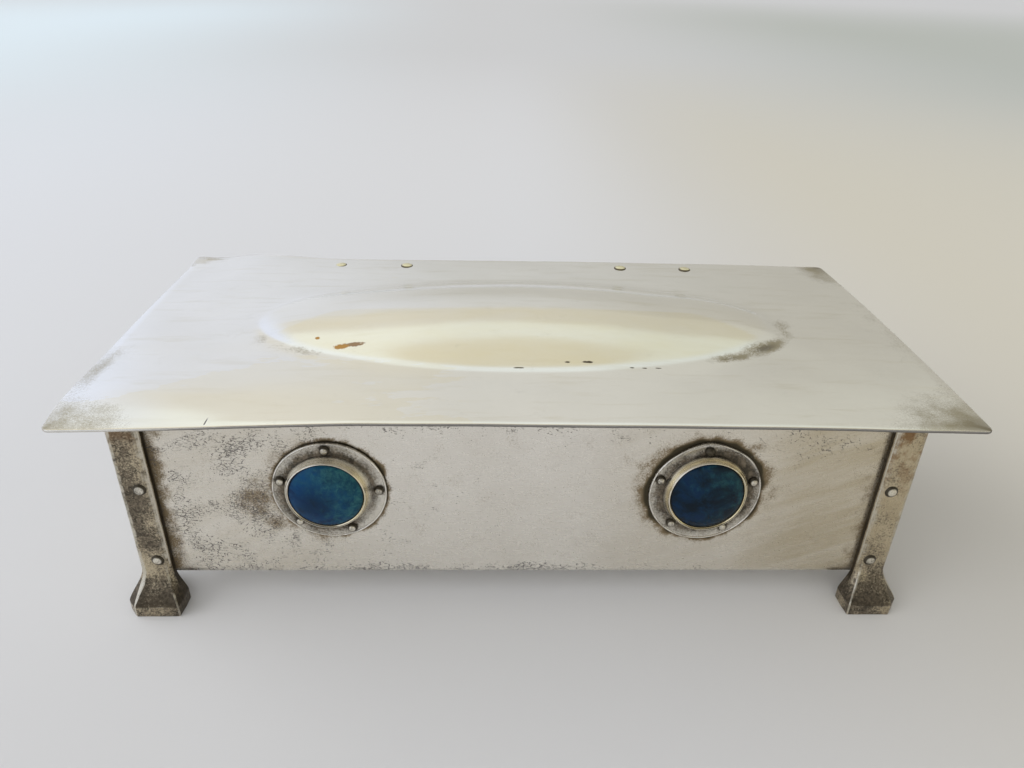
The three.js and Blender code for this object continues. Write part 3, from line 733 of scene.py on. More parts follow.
def bent_corner(x, y):
    """The back left corner was knocked: the edge rises in a hump, and the tip is folded up past a line."""
    width = HUMP_LEFT if x < HUMP_X else HUMP_RIGHT
    hump = HUMP_RISE * math.exp(-((x - HUMP_X) / width) ** 2) * smooth(y, 0, 70 * MM)
    return hump + FOLD_SLOPE * max(0, past_fold(x, y))


def sprung_front(x, y):
    """The front edge has sprung up a little, and its left end is bent down past a line along the edge."""
    less = 0.35 * smooth(x, -20 * MM, 20 * MM) + 0.4 * smooth(x, 60 * MM, 110 * MM)
    lift = EDGE_LIFT * smooth(-y, 20 * MM, 60 * MM) * (1 - less)
    past = max(0, -y - BEND_LINE) / (lid_y - BEND_LINE)
    return lift - EDGE_DROOP * past ** 1.4 * smooth(-x, 40 * MM, 122 * MM)


def lid_height(x, y):
    crown = LID_CROWN * (1 - (x / lid_x) ** 2 - (y / lid_y) ** 2)
    inside = in_dome(x, y)
    crease = CREASE_FRONT + (CREASE_BACK - CREASE_FRONT) * smooth(y, -10 * MM, 20 * MM)
    end = smooth(abs(x), 45 * MM, 78 * MM)
    crease += (CREASE_END - crease) * end
    dome = DOME_RISE * ((inside + math.hypot(inside, crease)) / 2) ** (1 - END_FULLNESS * end)
    place = Vector((x, y, 0))
    wave = LID_WAVE * (ripple(place, LONG_WAVE, 3) + 0.45 * ripple(place, SHORT_WAVE, 8))
    return lid_edge_z + crown + dome + wave + bent_corner(x, y) + sprung_front(x, y)


print("lid's edge at mm:", round(lid_edge_z / MM, 2), "dome's top at mm:", round(lid_high.z / MM, 2))

# %% Rings of the lid
EDGE_STEP = 2.2 * MM
CORNER_STEPS = 8
DOME_RINGS = 30
BRIM_RINGS = 26


def lid_outline(inset):
    """Points round the lid's edge, with round corners, moved in by inset."""
    points = []
    radius = LID_CORNER - inset
    for side_x, side_y, start in ((1, -1, -90), (1, 1, 0), (-1, 1, 90), (-1, -1, 180)):
        centre = Vector((side_x * (lid_x - LID_CORNER), side_y * (lid_y - LID_CORNER)))
        for step in range(CORNER_STEPS + 1):
            angle = math.radians(start + 90 * step / CORNER_STEPS)
            points.append(centre + radius * Vector((math.cos(angle), math.sin(angle))))
        run = 2 * ((lid_y if side_x * side_y < 0 else lid_x) - LID_CORNER)
        last = points[-1]
        away = Vector((-math.sin(angle), math.cos(angle)))
        steps = round(run / EDGE_STEP)
        points += [last + away * run * step / steps for step in range(1, steps)]
    return points


def lid_rings():
    """Plan points of each ring, from the dome's middle to the edge."""
    edge = lid_outline(LID_SHEET / 2)
    angles = [math.atan2(point.y / lid_y, point.x / lid_x) for point in edge]
    oval = [Vector((DOME_X * math.cos(a), DOME_SETBACK + DOME_Y * math.sin(a))) for a in angles]
    middle = Vector((0, DOME_SETBACK))
    rings = []
    for ring in range(1, DOME_RINGS + 1):
        share = math.sin(ring / DOME_RINGS * math.pi / 2) if ring < DOME_RINGS else 1
        rings.append([middle.lerp(point, share) for point in oval])
    for ring in range(1, BRIM_RINGS + 1):
        share = (ring / BRIM_RINGS) ** 1.5
        rings.append([near.lerp(far, share) for near, far in zip(oval, edge)])
    return rings


flat_rings = lid_rings()
print("lid rings:", len(flat_rings), "points round:", len(flat_rings[0]))

# %% The lid as a closed sheet
EDGE_TURNS = 6


def lid_piece():
    count = len(flat_rings[0])
    top = [[Vector((p.x, p.y, lid_height(p.x, p.y))) for p in ring] for ring in flat_rings]
    under = [[p - Vector((0, 0, LID_SHEET)) for p in ring] for ring in top]
    turns = []
    for turn in range(1, EDGE_TURNS):
        angle = math.pi * turn / EDGE_TURNS
        out = lid_outline(LID_SHEET / 2 * (1 - math.sin(angle)))
        drop = LID_SHEET / 2 * (1 - math.cos(angle))
        turns.append([Vector((p.x, p.y, q.z - drop)) for p, q in zip(out, top[-1])])
    rings = top + turns + under[::-1]
    points = [point for ring in rings for point in ring]
    faces = ring_faces(len(rings), count)
    peak = Vector((0, DOME_SETBACK, lid_height(0, DOME_SETBACK)))
    points += [peak, peak - Vector((0, 0, LID_SHEET))]
    first, last = 0, (len(rings) - 1) * count
    for i in range(count):
        after = (i + 1) % count
        faces.append((len(points) - 2, first + i, first + after))
        faces.append((len(points) - 1, last + after, last + i))
    return make_piece("lid_sheet", points, faces, 60)


lid = lid_piece()
print("lid points:", len(lid.data.vertices))

# %% Where the lid is worn, dirty and filmed
# Side, how much further away each way counts, reach in mm and amount
lid_corners = [(-1, -1, 1.0, 1.6, 54, 0.8), (1, -1, 1.0, 1.3, 52, 1.2), (-1, 1, 1.0, 1.5, 20, 0.6),
               (1, 1, 1.6, 0.75, 40, 1.25)]
CLEAN = -0.4
CREASE_AMOUNT = 1.95
UNDER_GRIME = 0.28
UNDER_FILM = 0.2


def blob(p, x, y, reach_x, reach_y):
    """1 at a place on the lid or a wall, fading out over the two reaches. Places and reaches are in mm."""
    return math.exp(-(((p.x / MM - x) / reach_x) ** 2 + ((p.y / MM - y) / reach_y) ** 2))


def lid_edge_wear(p):
    gap = min(lid_x - abs(p.x), lid_y - abs(p.y))
    return 1 - smooth(gap, 0.1 * MM, 0.7 * MM)


def lid_packed(p):
    """Painted shade along the lower half of the edge, where it turns under, less of it on the left."""
    gap = min(lid_x - abs(p.x), lid_y - abs(p.y))
    depth = lid_height(p.x, p.y) - p.z
    lower = smooth(depth, 0.1 * LID_SHEET, 0.3 * LID_SHEET) * (1 - smooth(gap, 0.6 * MM, 1.5 * MM))
    return lower * (1 - 0.6 * smooth(-p.x, 85 * MM, 110 * MM))


def is_under(p):
    return p.z < lid_height(p.x, p.y) - LID_SHEET / 2


def crease_dirt_and_shade(p):
    """Dirt and painted shade in the crease round the dome, at its right and left ends."""
    crease = math.exp(-((in_dome(p.x, p.y) + 0.09) / 0.15) ** 2)
    right = 0.82 * blob(p, 79, -17.5, 11, 7) + 0.7 * blob(p, 66, -25.5, 14, 4) + 0.5 * blob(p, 89, -4, 6, 12)
    left = 0.34 * blob(p, -80, -14, 11, 8) + 0.44 * blob(p, -67, -22, 14, 5) + 0.2 * blob(p, -89, -3, 6, 9)
    return crease * (right + left)


def lid_grime(p):
    if is_under(p):
        return UNDER_GRIME
    worst = CLEAN
    for side_x, side_y, weight_x, weight_y, reach, amount in lid_corners:
        away = math.hypot(weight_x * (side_x * lid_x - p.x), weight_y * (side_y * lid_y - p.y))
        if side_x + side_y == -2:
            amount *= smooth(-p.y, BEND_LINE - 2 * MM, BEND_LINE + 2 * MM)
        worst = max(worst, CLEAN + (amount - CLEAN) * (1 - smooth(away, -8 * MM, reach * MM)))
    worst = max(worst, 0.5 * smooth(past_fold(p.x, p.y), -0.3 * MM, 0.5 * MM))
    worst = max(worst, 0.6 * blob(p, -125, -33, 4, 13), 0.35 * blob(p, 127, -10, 7, 45))
    return max(worst, CLEAN + CREASE_AMOUNT * crease_dirt_and_shade(p))


def lid_film_and_reflection(p):
    """A warm film and a painted reflection on the near half of the dome, with an edge along its crest."""
    if is_under(p):
        return UNDER_FILM
    crown_line = -3.8 * MM + 5 * MM * (p.x / (60 * MM)) ** 2
    crown_line -= 19 * MM * smooth(abs(p.x), 55 * MM, DOME_X)
    near_half = smooth(crown_line - p.y, -0.7 * MM, 0.7 * MM)
    return smooth(in_dome(p.x, p.y), 0.02, 0.12) * (0.15 + 0.45 * near_half)


def lid_cream(p):
    """A cream film along the front edge, wider towards the dome and gone on the right."""
    wide = (14 + 26 * smooth(p.x, -122 * MM, -60 * MM)) * MM
    front = 1 - smooth(p.y + lid_y, 0.7 * wide, 1.3 * wide)
    return 0.0 if is_under(p) else front * (1 - smooth(p.x, -70 * MM, 5 * MM))


paint(lid, edge=lid_edge_wear, grime=lid_grime, film=lid_film_and_reflection, cream=lid_cream, speckle=crease_dirt_and_shade,
      upper=lambda p: 0.0 if is_under(p) else 1.0, packed=lid_packed)
install(lid, "lid", "lid_silver", LID_SILVER, "lid")

# %% [markdown]
# ## The walls
# A wall is a flat sheet. A flat box would reflect like a mirror, and nothing beaten by hand does, so each
# wall is lofted from end to end with its edges eased and its faces waved by a tenth of a millimetre.

# %% An eased sheet between two corners
WALL_CELL = 1.1 * MM
WALL_EASE = 0.25 * MM
WAVE = 0.10 * MM
LONG_BEND = 45 * MM
SHORT_BEND = 17 * MM


def spread(low, high, ease, cell):
    """Places from low to high: close at both ends, for the easing, and a cell apart between."""
    steps = max(1, round((high - low - 2 * ease) / cell))
    inner = [low + ease + (high - low - 2 * ease) * i / steps for i in range(steps + 1)]
    return [low, *inner, high]


def sheet_rings(low, high, along, cell, ease):
    """Rings of an eased sheet, lofted on one axis. Its thin axis is found from its size."""
    across = [axis for axis in range(3) if axis != along]
    wide, thin = sorted(across, key=lambda axis: high[axis] - low[axis], reverse=True)
    heights = spread(low[wide], high[wide], ease, cell)
    rings = []
    ends = spread(low[along], high[along], ease, cell)
    for i, station in enumerate(ends):
        inset = ease if i in (0, len(ends) - 1) else 0
        ring = []
        for side in (0, 1):
            for j, height in enumerate(heights if side == 0 else heights[::-1]):
                tucked = ease if j in (0, len(heights) - 1) else inset
                point = [0, 0, 0]
                point[along] = station
                point[wide] = min(max(height, low[wide] + inset), high[wide] - inset)
                point[thin] = low[thin] + tucked if side == 0 else high[thin] - tucked
                ring.append(Vector(point))
        rings.append(ring)
    return rings


def wave_piece(piece, axis, seed):
    for vertex in piece.data.vertices:
        bend = ripple(vertex.co, LONG_BEND, seed) + 0.4 * ripple(vertex.co, SHORT_BEND, seed + 5)
        vertex.co[axis] += WAVE * bend


print("wall ease, mm:", WALL_EASE / MM)

# %% Where the walls are pitted and dirty
LEG_INNER_X = 108.4 * MM
CLEAN_WALL = -0.2
NO_PITS = -0.5


def spot_on_wall(p, x, z, reach_x, reach_z):
    return blob(Vector((p.x, p.z)), x, z, reach_x, reach_z)


def boss_cloud(p, side, cloud_way, reach, amount, halo, halo_reach):
    """A cloud of dirt round a setting that lies mostly one way, in degrees, and a narrow halo all round."""
    centre = setting_centres[side]
    gap = math.hypot(p.x - centre.x, p.z - centre.z) - FLANGE_RADIUS + 1.2 * MM * ripple(p, 3.5 * MM, 12)
    turn = math.atan2(p.z - centre.z, p.x - centre.x) - math.radians(cloud_way)
    near = (1 - smooth(gap, -1 * MM, reach * MM)) * (0.55 + 0.45 * math.cos(turn))
    halo *= 1 - smooth(gap, -0.5 * MM, halo_reach * MM)
    return CLEAN_WALL + max((amount - CLEAN_WALL) * near, halo)


# Places beside the settings where dirt has settled: x, z and reach both ways in mm, and amount
wall_stains = [
    (-79, 38.5, 8, 9, 1.0), (-74.5, 31, 6, 4, 0.9), (76, 41, 4, 9, 0.7), (74.2, 48.5, 2.6, 5, 0.95),
    (71.6, 34.6, 2.6, 2.2, 0.95), (46.6, 26.4, 4, 1.8, 0.9), (68.8, 58.8, 4.6, 2.0, 0.95),
    (37.5, 47, 5, 12, 0.75), (44, 58, 8, 4, 0.6)]


def front_grime(p):
    if p.y > (front_low.y + front_high.y) / 2:
        return 0.2
    gap = LEG_INNER_X - abs(p.x)
    # Dirt and painted shade in a dark line where the leg meets the wall.
    packed = 1.6 * (1 - smooth(gap, -0.6 * MM, 1.1 * MM))
    beside = 0.8 if p.x < 0 else 0.5
    ragged = gap + 2.2 * MM * ripple(p, 3 * MM, 14)
    legs = CLEAN_WALL + (beside - CLEAN_WALL) * (1 - smooth(ragged, 0, 9 * MM))
    clouds = max(boss_cloud(p, "left", 195, 9, 0.65, 1.45, 2.6),
                 boss_cloud(p, "right", 170, 10, 1.0, 1.9, 4.2))
    stains = max(amount * spot_on_wall(p, *place) for *place, amount in wall_stains)
    foot = 0.4 * (1 - smooth(p.z - UNDERSIDE, 0, 4 * MM)) * (1 - smooth(p.x, -70 * MM, 40 * MM))
    return max(packed, legs, clouds, CLEAN_WALL + stains, foot + CLEAN_WALL)


def front_pits(p):
    if p.y > (front_low.y + front_high.y) / 2:
        return NO_PITS
    left = 0.32 - 0.55 * smooth(p.x, -80 * MM, 10 * MM)
    left += 0.4 * spot_on_wall(p, -79, 38, 9, 9) + 0.12 * spot_on_wall(p, -107, 32, 8, 30)
    foot = -0.3 + 0.85 * (1 - smooth(p.z - UNDERSIDE, 1 * MM, 6 * MM)) * (1 - smooth(p.x, 0, 100 * MM))
    right = -0.3 + 0.55 * spot_on_wall(p, 80, 60, 26, 10)
    top = -0.3 + 0.7 * smooth(p.z, RIM - 16 * MM, RIM - 5 * MM) * (1 - smooth(p.x, 20 * MM, 80 * MM))
    return max(left, foot, right, top)


def front_film(p):
    left = 0.45 * (1 - smooth(p.x, -75 * MM, -20 * MM))
    right = 0.42 * smooth(p.x, 10 * MM, 40 * MM)
    leg = 1.05 * smooth(p.x, 45 * MM, 92 * MM)
    return max(0.1, left, right, leg)


def plain_grime(p, along, reach, inside):
    """Dirt on the other walls: along the legs and the bottom edge, and little inside."""
    if inside:
        return 0.25
    near_leg = 1 - smooth(reach - abs(p[along]) + 3 * MM * ripple(p, 4 * MM, 15), -1 * MM, 15 * MM)
    return max(0.05, 0.7 * near_leg, 0.55 * (1 - smooth(p.z - UNDERSIDE, 0, 6 * MM)))


def wall_edges(p):
    return 1 - smooth(min(RIM - p.z, p.z - UNDERSIDE), 0.1 * MM, 0.8 * MM)


print("settings at mm:", [round(centre.x / MM, 1) for centre in setting_centres.values()])

# %% Four walls, and the floor plate's finish
walls = {"front": (0, 1), "back": (0, 1), "left": (1, 0), "right": (1, 0)}
for seed, (side, (along, thin)) in enumerate(walls.items()):
    low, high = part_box(side + "_wall")
    wall = loft(side + "_panel", sheet_rings(low, high, along, WALL_CELL, WALL_EASE), 60)
    wave_piece(wall, thin, seed + 20)
    reach = high[along] + (WALL_SHEET if along else 0) + LEG_INNER_X - front_high.x
    middle = (low[thin] + high[thin]) / 2
    paint(wall, edge=wall_edges)
    if side == "front":
        paint(wall, grime=front_grime, pitted=front_pits, film=front_film)
    else:
        paint(wall, grime=lambda p: plain_grime(p, along, reach, abs(p[thin]) < abs(middle)),
              pitted=lambda p: NO_PITS if abs(p[thin]) < abs(middle) else 0.2, film=lambda p: 0.35)
    install(wall, "box", "wall_silver", WALL_SILVER, side + "_wall")
frame["nodes"]["floor_plate"].data.materials.clear()
frame["nodes"]["floor_plate"].data.materials.append(WALL_SILVER)

# %% [markdown]
# ## The legs
# A leg is a heavy angle, chamfered along its outer corner and bevelled along its edges, that flares into
# a foot. It is a loft: the same outline at every height, only larger towards the bottom. Each corner of
# the outline is rounded by a small arc, because the bright line along a worn ridge is the light caught on
# that arc.

# %% The leg's outline at one height
LEG_WIDTH = 10.5 * MM
LEG_THICK = 2.9 * MM
SOLID_FLARE = 5.1 * MM
LEG_SHAFT = {"flare": 0.0, "reach": LEG_WIDTH, "chamfer": 1.0 * MM, "bevel": 1.5 * MM, "depth": 0.9 * MM}
LEG_FOOT = {"flare": 5.7 * MM, "reach": LEG_WIDTH + 2.6 * MM, "chamfer": 3.3 * MM, "bevel": 0.5 * MM,
            "depth": 4.35 * MM}
RIDGE = 0.35 * MM
SHAFT_ROUND = 1.0 * MM
FOOT_ROUND = 0.28 * MM
RIDGE_STEPS = 4
FLAT_SHARES = (0.25, 0.5, 0.75)
CHAMFER_ENDS = (0, 8)
HIDDEN_CORNERS = (3, 4, 5)
HIDDEN_FLATS = (2, 3, 4, 5)
# How rubbed each ridge and flat is, on the shaft and then on the foot; the foot's brightest ridges are
# partly painted highlight. A flat has its first corner's number.
RIDGE_WEAR_AND_HIGHLIGHT = {0: (0.6, 0.8), 1: (0.45, 0.55), 2: (1.0, 0.1), 6: (1.0, 0.1), 7: (0.45, 0.8), 8: (0.6, 0.2)}
FLAT_WEAR = {1: (0.6, 0.0), 6: (0.6, 0.0), 8: (0.62, 0.0)}
UNWORN = (0.0, 0.0)


def leg_corners(flare, reach, chamfer, bevel, depth, inset=0.0):
    """Corners of an angle whose outer corner is at (0, 0). Its two chamfer ends come first and last."""
    outer, inner = inset - flare, reach - inset
    half = [(outer + chamfer, outer), (inner - bevel, outer), (inner, outer + depth), (inner, LEG_THICK)]
    corners = [Vector(corner) for corner in half]
    mirrored = [Vector((corner.y, corner.x)) for corner in reversed(corners)]
    return [*corners, Vector((LEG_THICK, LEG_THICK)), *mirrored]


def rounded(corners, softness):
    """The outline with arcs at its corners and points on its flats, and how worn and hidden each is."""
    count = len(corners)
    cuts = []
    for i, corner in enumerate(corners):
        shortest = min((corners[i - 1] - corner).length, (corners[(i + 1) % count] - corner).length)
        cuts.append(min(softness if i in CHAMFER_ENDS else RIDGE, shortest * 0.35))
    points, marks = [], []
    for i, corner in enumerate(corners):
        after = corners[(i + 1) % count]
        ahead = (after - corner).normalized()
        start = corner + (corners[i - 1] - corner).normalized() * cuts[i]
        end = corner + ahead * cuts[i]
        for step in range(RIDGE_STEPS + 1):
            share = step / RIDGE_STEPS
            points.append(start.lerp(corner, share).lerp(corner.lerp(end, share), share))
            marks.append((*RIDGE_WEAR_AND_HIGHLIGHT.get(i, UNWORN), i in HIDDEN_CORNERS))
        far = after - ahead * cuts[(i + 1) % count]
        support = min(softness * 0.8 / (far - end).length, 0.2)
        for share in (support, *FLAT_SHARES, 1 - support):
            points.append(end.lerp(far, share))
            marks.append((*FLAT_WEAR.get(i, UNWORN), i in HIDDEN_FLATS))
    return points, marks


print("points in the leg's outline:", len(rounded(leg_corners(**LEG_SHAFT), SHAFT_ROUND)[0]))

# %% The leg's levels, and how worn and dirty they are
FOOT_BAND = 4.0 * MM
FOOT_TOP = 14.5 * MM
FOOT_EASE = 0.35 * MM
FOOT_SWEEP = 0.72
EASE_STEPS = 3
FLARE_STEPS = 20
SHAFT_STEPS = 30
BAND_EDGE = 0.35 * MM
# How much of its solid's width a leg has along the front, outside and inside its back, on shaft and foot
FIT = {"outer": (0.95, 0.85), "inner": (0.87, 0.92)}


def leg_levels():
    """Height, outline and flare at each level, from the table to the rim. The flare goes from 1 to 0."""
    levels = []
    for step in range(EASE_STEPS + 1):
        turn = math.pi / 2 * step / EASE_STEPS
        corners = leg_corners(**LEG_FOOT, inset=FOOT_EASE * (1 - math.sin(turn)))
        levels.append((FOOT_EASE * (1 - math.cos(turn)), corners, 1.0))
    levels.append((FOOT_BAND - BAND_EDGE, leg_corners(**LEG_FOOT), 1.0))
    for step in range(FLARE_STEPS + 1):
        climb = step / FLARE_STEPS
        flared = 1 - smooth(climb ** FOOT_SWEEP, 0, 1)
        sizes = {key: LEG_SHAFT[key] + (LEG_FOOT[key] - LEG_SHAFT[key]) * flared for key in LEG_FOOT}
        levels.append((FOOT_BAND + (FOOT_TOP - FOOT_BAND) * climb, leg_corners(**sizes), flared))
    for step in range(1, SHAFT_STEPS + 1):
        levels.append((FOOT_TOP + (RIM - FOOT_TOP) * step / SHAFT_STEPS, leg_corners(**LEG_SHAFT), 0.0))
    return levels


def fitted(x, side_x, flared):
    """Moves a leg's point along the front to where the leg's edges are. The back of its flange stays."""
    inward = leg_x - side_x * x - LEG_THICK
    shaft, foot = FIT["outer" if inward < 0 else "inner"]
    return side_x * (leg_x - LEG_THICK - inward * (shaft + (foot - shaft) * flared))


def leg_wear_and_highlight(height, shaft, foot, rubbed):
    """Wear between the shaft's and the foot's, and a bright line along the top of the foot's band that is
    wear and painted highlight.
    """
    low = 1 - smooth(height, FOOT_TOP - 3 * MM, FOOT_TOP + 5 * MM)
    band = 0.42 if abs(height - FOOT_BAND) < BAND_EDGE / 2 else 0.0
    return max(rubbed * (shaft + (foot - shaft) * low), band)


def leg_dirt_and_shade(height, hidden, dirt, foot_dirt):
    low = 1 - smooth(height, 3 * MM, 16 * MM)
    band = 0.4 * (1 - smooth(height, FOOT_BAND - BAND_EDGE, FOOT_BAND))
    # Painted shade: the hidden sides, between the leg and the wall, are darkened above the foot.
    tucked = smooth(height, 7 * MM, 12 * MM) if hidden else 0.0
    return dirt + (foot_dirt - dirt) * low - band + tucked


print("levels in a leg:", len(leg_levels()))

# %% Four legs
FILE_MARK = 0.07 * MM
leg_low, leg_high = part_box("leg_front_right")
leg_x = leg_high.x - SOLID_FLARE
leg_y = -leg_low.y - SOLID_FLARE
# Side, turn, dirt on the shaft and the foot, how rubbed it is, and how much rust it has and how far down
corners = {
    "front_left": (-1, -1, 0, 0.65, 1.3, 1.0, 0.6, 16), "front_right": (1, -1, 90, 0.33, 1.2, 0.85, 1.0, 38),
    "back_right": (1, 1, 180, 0.5, 1.1, 0.8, 0.3, 14), "back_left": (-1, 1, -90, 0.6, 1.1, 0.8, 0.3, 14)}
for seed, (corner, values) in enumerate(corners.items()):
    side_x, side_y, turn, dirt, foot_dirt, rubbed, rust, down = values
    place = Matrix.Translation((side_x * leg_x, side_y * leg_y, 0))
    place = place @ Matrix.Rotation(math.radians(turn), 4, "Z")
    rings, wear, grime, film = [], [], [], []
    for height, outline, flared in leg_levels():
        ring = []
        softness = SHAFT_ROUND + (FOOT_ROUND - SHAFT_ROUND) * flared
        for point, (shaft, foot, hidden) in zip(*rounded(outline, softness)):
            spot = Vector((point.x, point.y, height))
            out = Vector((-1, -1, 0)) * ripple(spot, 5 * MM, 40 + seed) * FILE_MARK if shaft else Vector()
            spot = place @ (spot + out)
            ring.append(Vector((fitted(spot.x, side_x, flared), spot.y, spot.z)))
            wear.append(leg_wear_and_highlight(height, shaft, foot, rubbed))
            grime.append(leg_dirt_and_shade(height, hidden, dirt, foot_dirt))
            film.append(0.0 if hidden else rust * smooth(height, RIM - down * MM, RIM - 7 * MM))
        rings.append(ring)
    leg = loft("corner_leg_" + corner, rings, 28)
    for name, values in (("edge", wear), ("grime", grime), ("film", film)):
        store(leg.data, name, values)
    install(leg, "box", "leg_silver", LEG_SILVER, "leg_" + corner)

# %% [markdown]
# ## The settings and their stones
# Each setting was spun from one disc: a flange with a raised bead, a hollow, and a collar whose rim is
# turned in over the stone. Both it and the stone are turned shapes, so each is a profile carried round an
# axis that points out of the front wall. The profile is written as radius and height above the wall.

# %% Turn a profile about an axis out of the front wall
TURN_SIDES = 112


def pinched(angle, radius):
    """The right flange is drawn out to a point at its top rivet and hollow on both sides of it."""
    turn = math.degrees(angle)
    peak = 0.45 * math.exp(-((turn - 93) / 13) ** 2) - 0.4 * math.exp(-((turn - 126) / 20) ** 2)
    peak -= 0.2 * math.exp(-((turn - 64) / 15) ** 2)
    return peak * MM * smooth(radius, 13 * MM, 16.5 * MM)


# Stretch upwards, and shift across and up in mm, of each flange and then of its collar
SKEW = {"left": ((1.0, 0.0, 0.0), (1.0, -0.55, 0.45)), "right": ((1.03, 0.0, -0.3), (1.06, 0.0, 0.55))}


def skewed(centre, height):
    """How a setting departs from a true circle at one height."""
    flange, collar = SKEW["left" if centre.x < 0 else "right"]
    share = smooth(height, 0.9 * MM, 2.2 * MM)
    return [low + (high - low) * share for low, high in zip(flange, collar)]


def turned(name, profile, centre, wobble=0.0, seed=0, closed=True):
    points = []
    for radius, height in profile:
        stretch, shift_x, shift_z = skewed(centre, height)
        middle = Vector((centre.x + shift_x * MM, front_low.y - height, centre.z + shift_z * MM))
        for side in range(TURN_SIDES):
            angle = 2 * math.pi * side / TURN_SIDES
            around = Vector((math.cos(angle), 0, math.sin(angle)))
            grown = radius + wobble * ripple(around * MM, 0.7 * MM, seed) * min(1, radius / (10 * MM))
            grown += pinched(angle, radius) if centre.x > 0 else 0
            points.append(middle + Vector((around.x, 0, around.z * stretch)) * grown)
    faces = ring_faces(len(profile), TURN_SIDES, closed)
    if not closed:
        faces.append(tuple(range(TURN_SIDES)))
    return make_piece(name, points, faces, 50)


def arc(centre, radius, start, end, steps):
    """Points on an arc in the profile's plane, in degrees."""
    angles = [math.radians(start + (end - start) * step / steps) for step in range(steps + 1)]
    return [(centre[0] + radius * math.cos(a), centre[1] + radius * math.sin(a)) for a in angles]


print("sides of a turned piece:", TURN_SIDES)

# %% Two settings
SEAT = 0.1 * MM
FLANGE_TOP = 0.95 * MM
BEAD = 0.32 * MM
COLLAR = 12.75 * MM
COLLAR_TOP = 4.3 * MM
BORE = 12.05 * MM
LIP = 11.1 * MM
COVE = 0.75 * MM
RIM_ROUND = 0.25 * MM
COLLAR_LEAN = 1.1 * MM
DISH = 0.2 * MM
DISH_STEPS = 6
SPUN_WOBBLE = 0.14 * MM
UNDERCUT = 0.5 * MM


def setting_profile():
    bead_at = (FLANGE_RADIUS - BEAD, FLANGE_TOP - 0.18 * MM)
    flat_out = FLANGE_RADIUS - 2 * BEAD
    flat_in = COLLAR + COVE
    flange = []
    for step in range(1, DISH_STEPS):
        share = step / DISH_STEPS
        dip = DISH * math.sin(math.pi * share)
        flange.append((flat_out + (flat_in - flat_out) * share, FLANGE_TOP - dip))
    rim_at = (COLLAR - COLLAR_LEAN - RIM_ROUND, COLLAR_TOP - RIM_ROUND)
    wall = [(COLLAR - COLLAR_LEAN * share, FLANGE_TOP + COVE + (rim_at[1] - FLANGE_TOP - COVE) * share)
            for share in (0.33, 0.66)]
    return [
        (BORE, 0.0), (FLANGE_RADIUS - UNDERCUT, 0.0), (FLANGE_RADIUS - UNDERCUT, 0.2 * MM),
        (FLANGE_RADIUS, 0.3 * MM),
        *arc(bead_at, BEAD, 0, 165, 7), *flange,
        *arc((flat_in, FLANGE_TOP + COVE), COVE, 270, 180, 5), *wall,
        *arc(rim_at, RIM_ROUND, 0, 100, 5), (LIP + 0.25 * MM, COLLAR_TOP - 0.3 * MM),
        (LIP, COLLAR_TOP - 0.5 * MM), (LIP + 0.1 * MM, COLLAR_TOP - 0.75 * MM),
        (BORE, COLLAR_TOP - 1.0 * MM)]


def ring_place(p):
    """Radius and height of a point on the nearer setting, in mm, and its angle in degrees."""
    centre = setting_centres["left" if p.x < 0 else "right"]
    height = front_low.y - p.y
    stretch, shift_x, shift_z = skewed(centre, height)
    across = p.x - centre.x - shift_x * MM
    up = (p.z - centre.z - shift_z * MM) / stretch
    return math.hypot(across, up) / MM, height / MM, math.degrees(math.atan2(up, across))


def towards(angle, way):
    """1 where a point lies that way from the setting's centre, fading to 0 a quarter turn away."""
    return max(0, math.cos(math.radians(angle - way)))


def setting_wear_and_highlight(p):
    radius, height, angle = ring_place(p)
    bead = 0.75 * (1 - smooth(abs(radius - FLANGE_RADIUS / MM + 0.3), 0.1, 0.4))
    rim = smooth(height, COLLAR_TOP / MM - 0.5, COLLAR_TOP / MM - 0.1)
    # The rim is rubbed bright, and brighter towards its upper left as a painted highlight.
    return max(bead, rim * (0.5 + 0.4 * towards(angle, 140)))


def setting_film(p):
    """Warm metal shows along the lip that holds the stone, and on the collar of the right setting."""
    radius, height, angle = ring_place(p)
    lip = (1 - smooth(radius, 11.5, 11.8)) * smooth(height, 3.0, 3.4)
    flank = 0.7 * (1 - smooth(radius, 12.4, 12.9)) * smooth(height, 2.2, 3.2)
    if p.x < 0:
        return max(lip * (0.25 + 0.75 * towards(angle, 0)), flank * towards(angle, 10))
    return max(0.9 * lip, flank)


setting_rivets = [f"setting_rivet_{side}_{i}" for side in setting_centres for i in range(1, 6)]
rivet_spots = [sum(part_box(node), Vector()) / 2 for node in setting_rivets]


def setting_grime_and_shade(p):
    """The flange has dirt and painted shade round its rivets, and darkens towards the collar with tarnish
    and painted shade, most at the top right.
    """
    radius, height, angle = ring_place(p)
    low = 1 - smooth(height, 1.2, 2.4)
    # Tarnish and painted shade in the hollow round the collar, most at the top right.
    hollow_shade = math.exp(-((radius - 13.4) / 0.8) ** 2) * (0.45 + 0.75 * towards(angle, 65))
    inward = 1 - smooth(radius, 13.0, 16.3)
    # Dirt and painted shade round each rivet.
    gap = min(math.hypot(p.x - spot.x, p.z - spot.z) for spot in rivet_spots)
    ring = 0.9 * (1 - smooth(gap, 1.5 * MM, 2.4 * MM))
    if p.x < 0:
        flange = 0.52 + 0.48 * inward - 0.35 * towards(angle, -20) + 0.2 * towards(angle, 230)
    else:
        flange = 0.68 + 0.48 * inward - 0.35 * towards(angle, -65) - 0.25 * towards(angle, 150)
    return max(low * max(flange, hollow_shade, ring), 0.1)


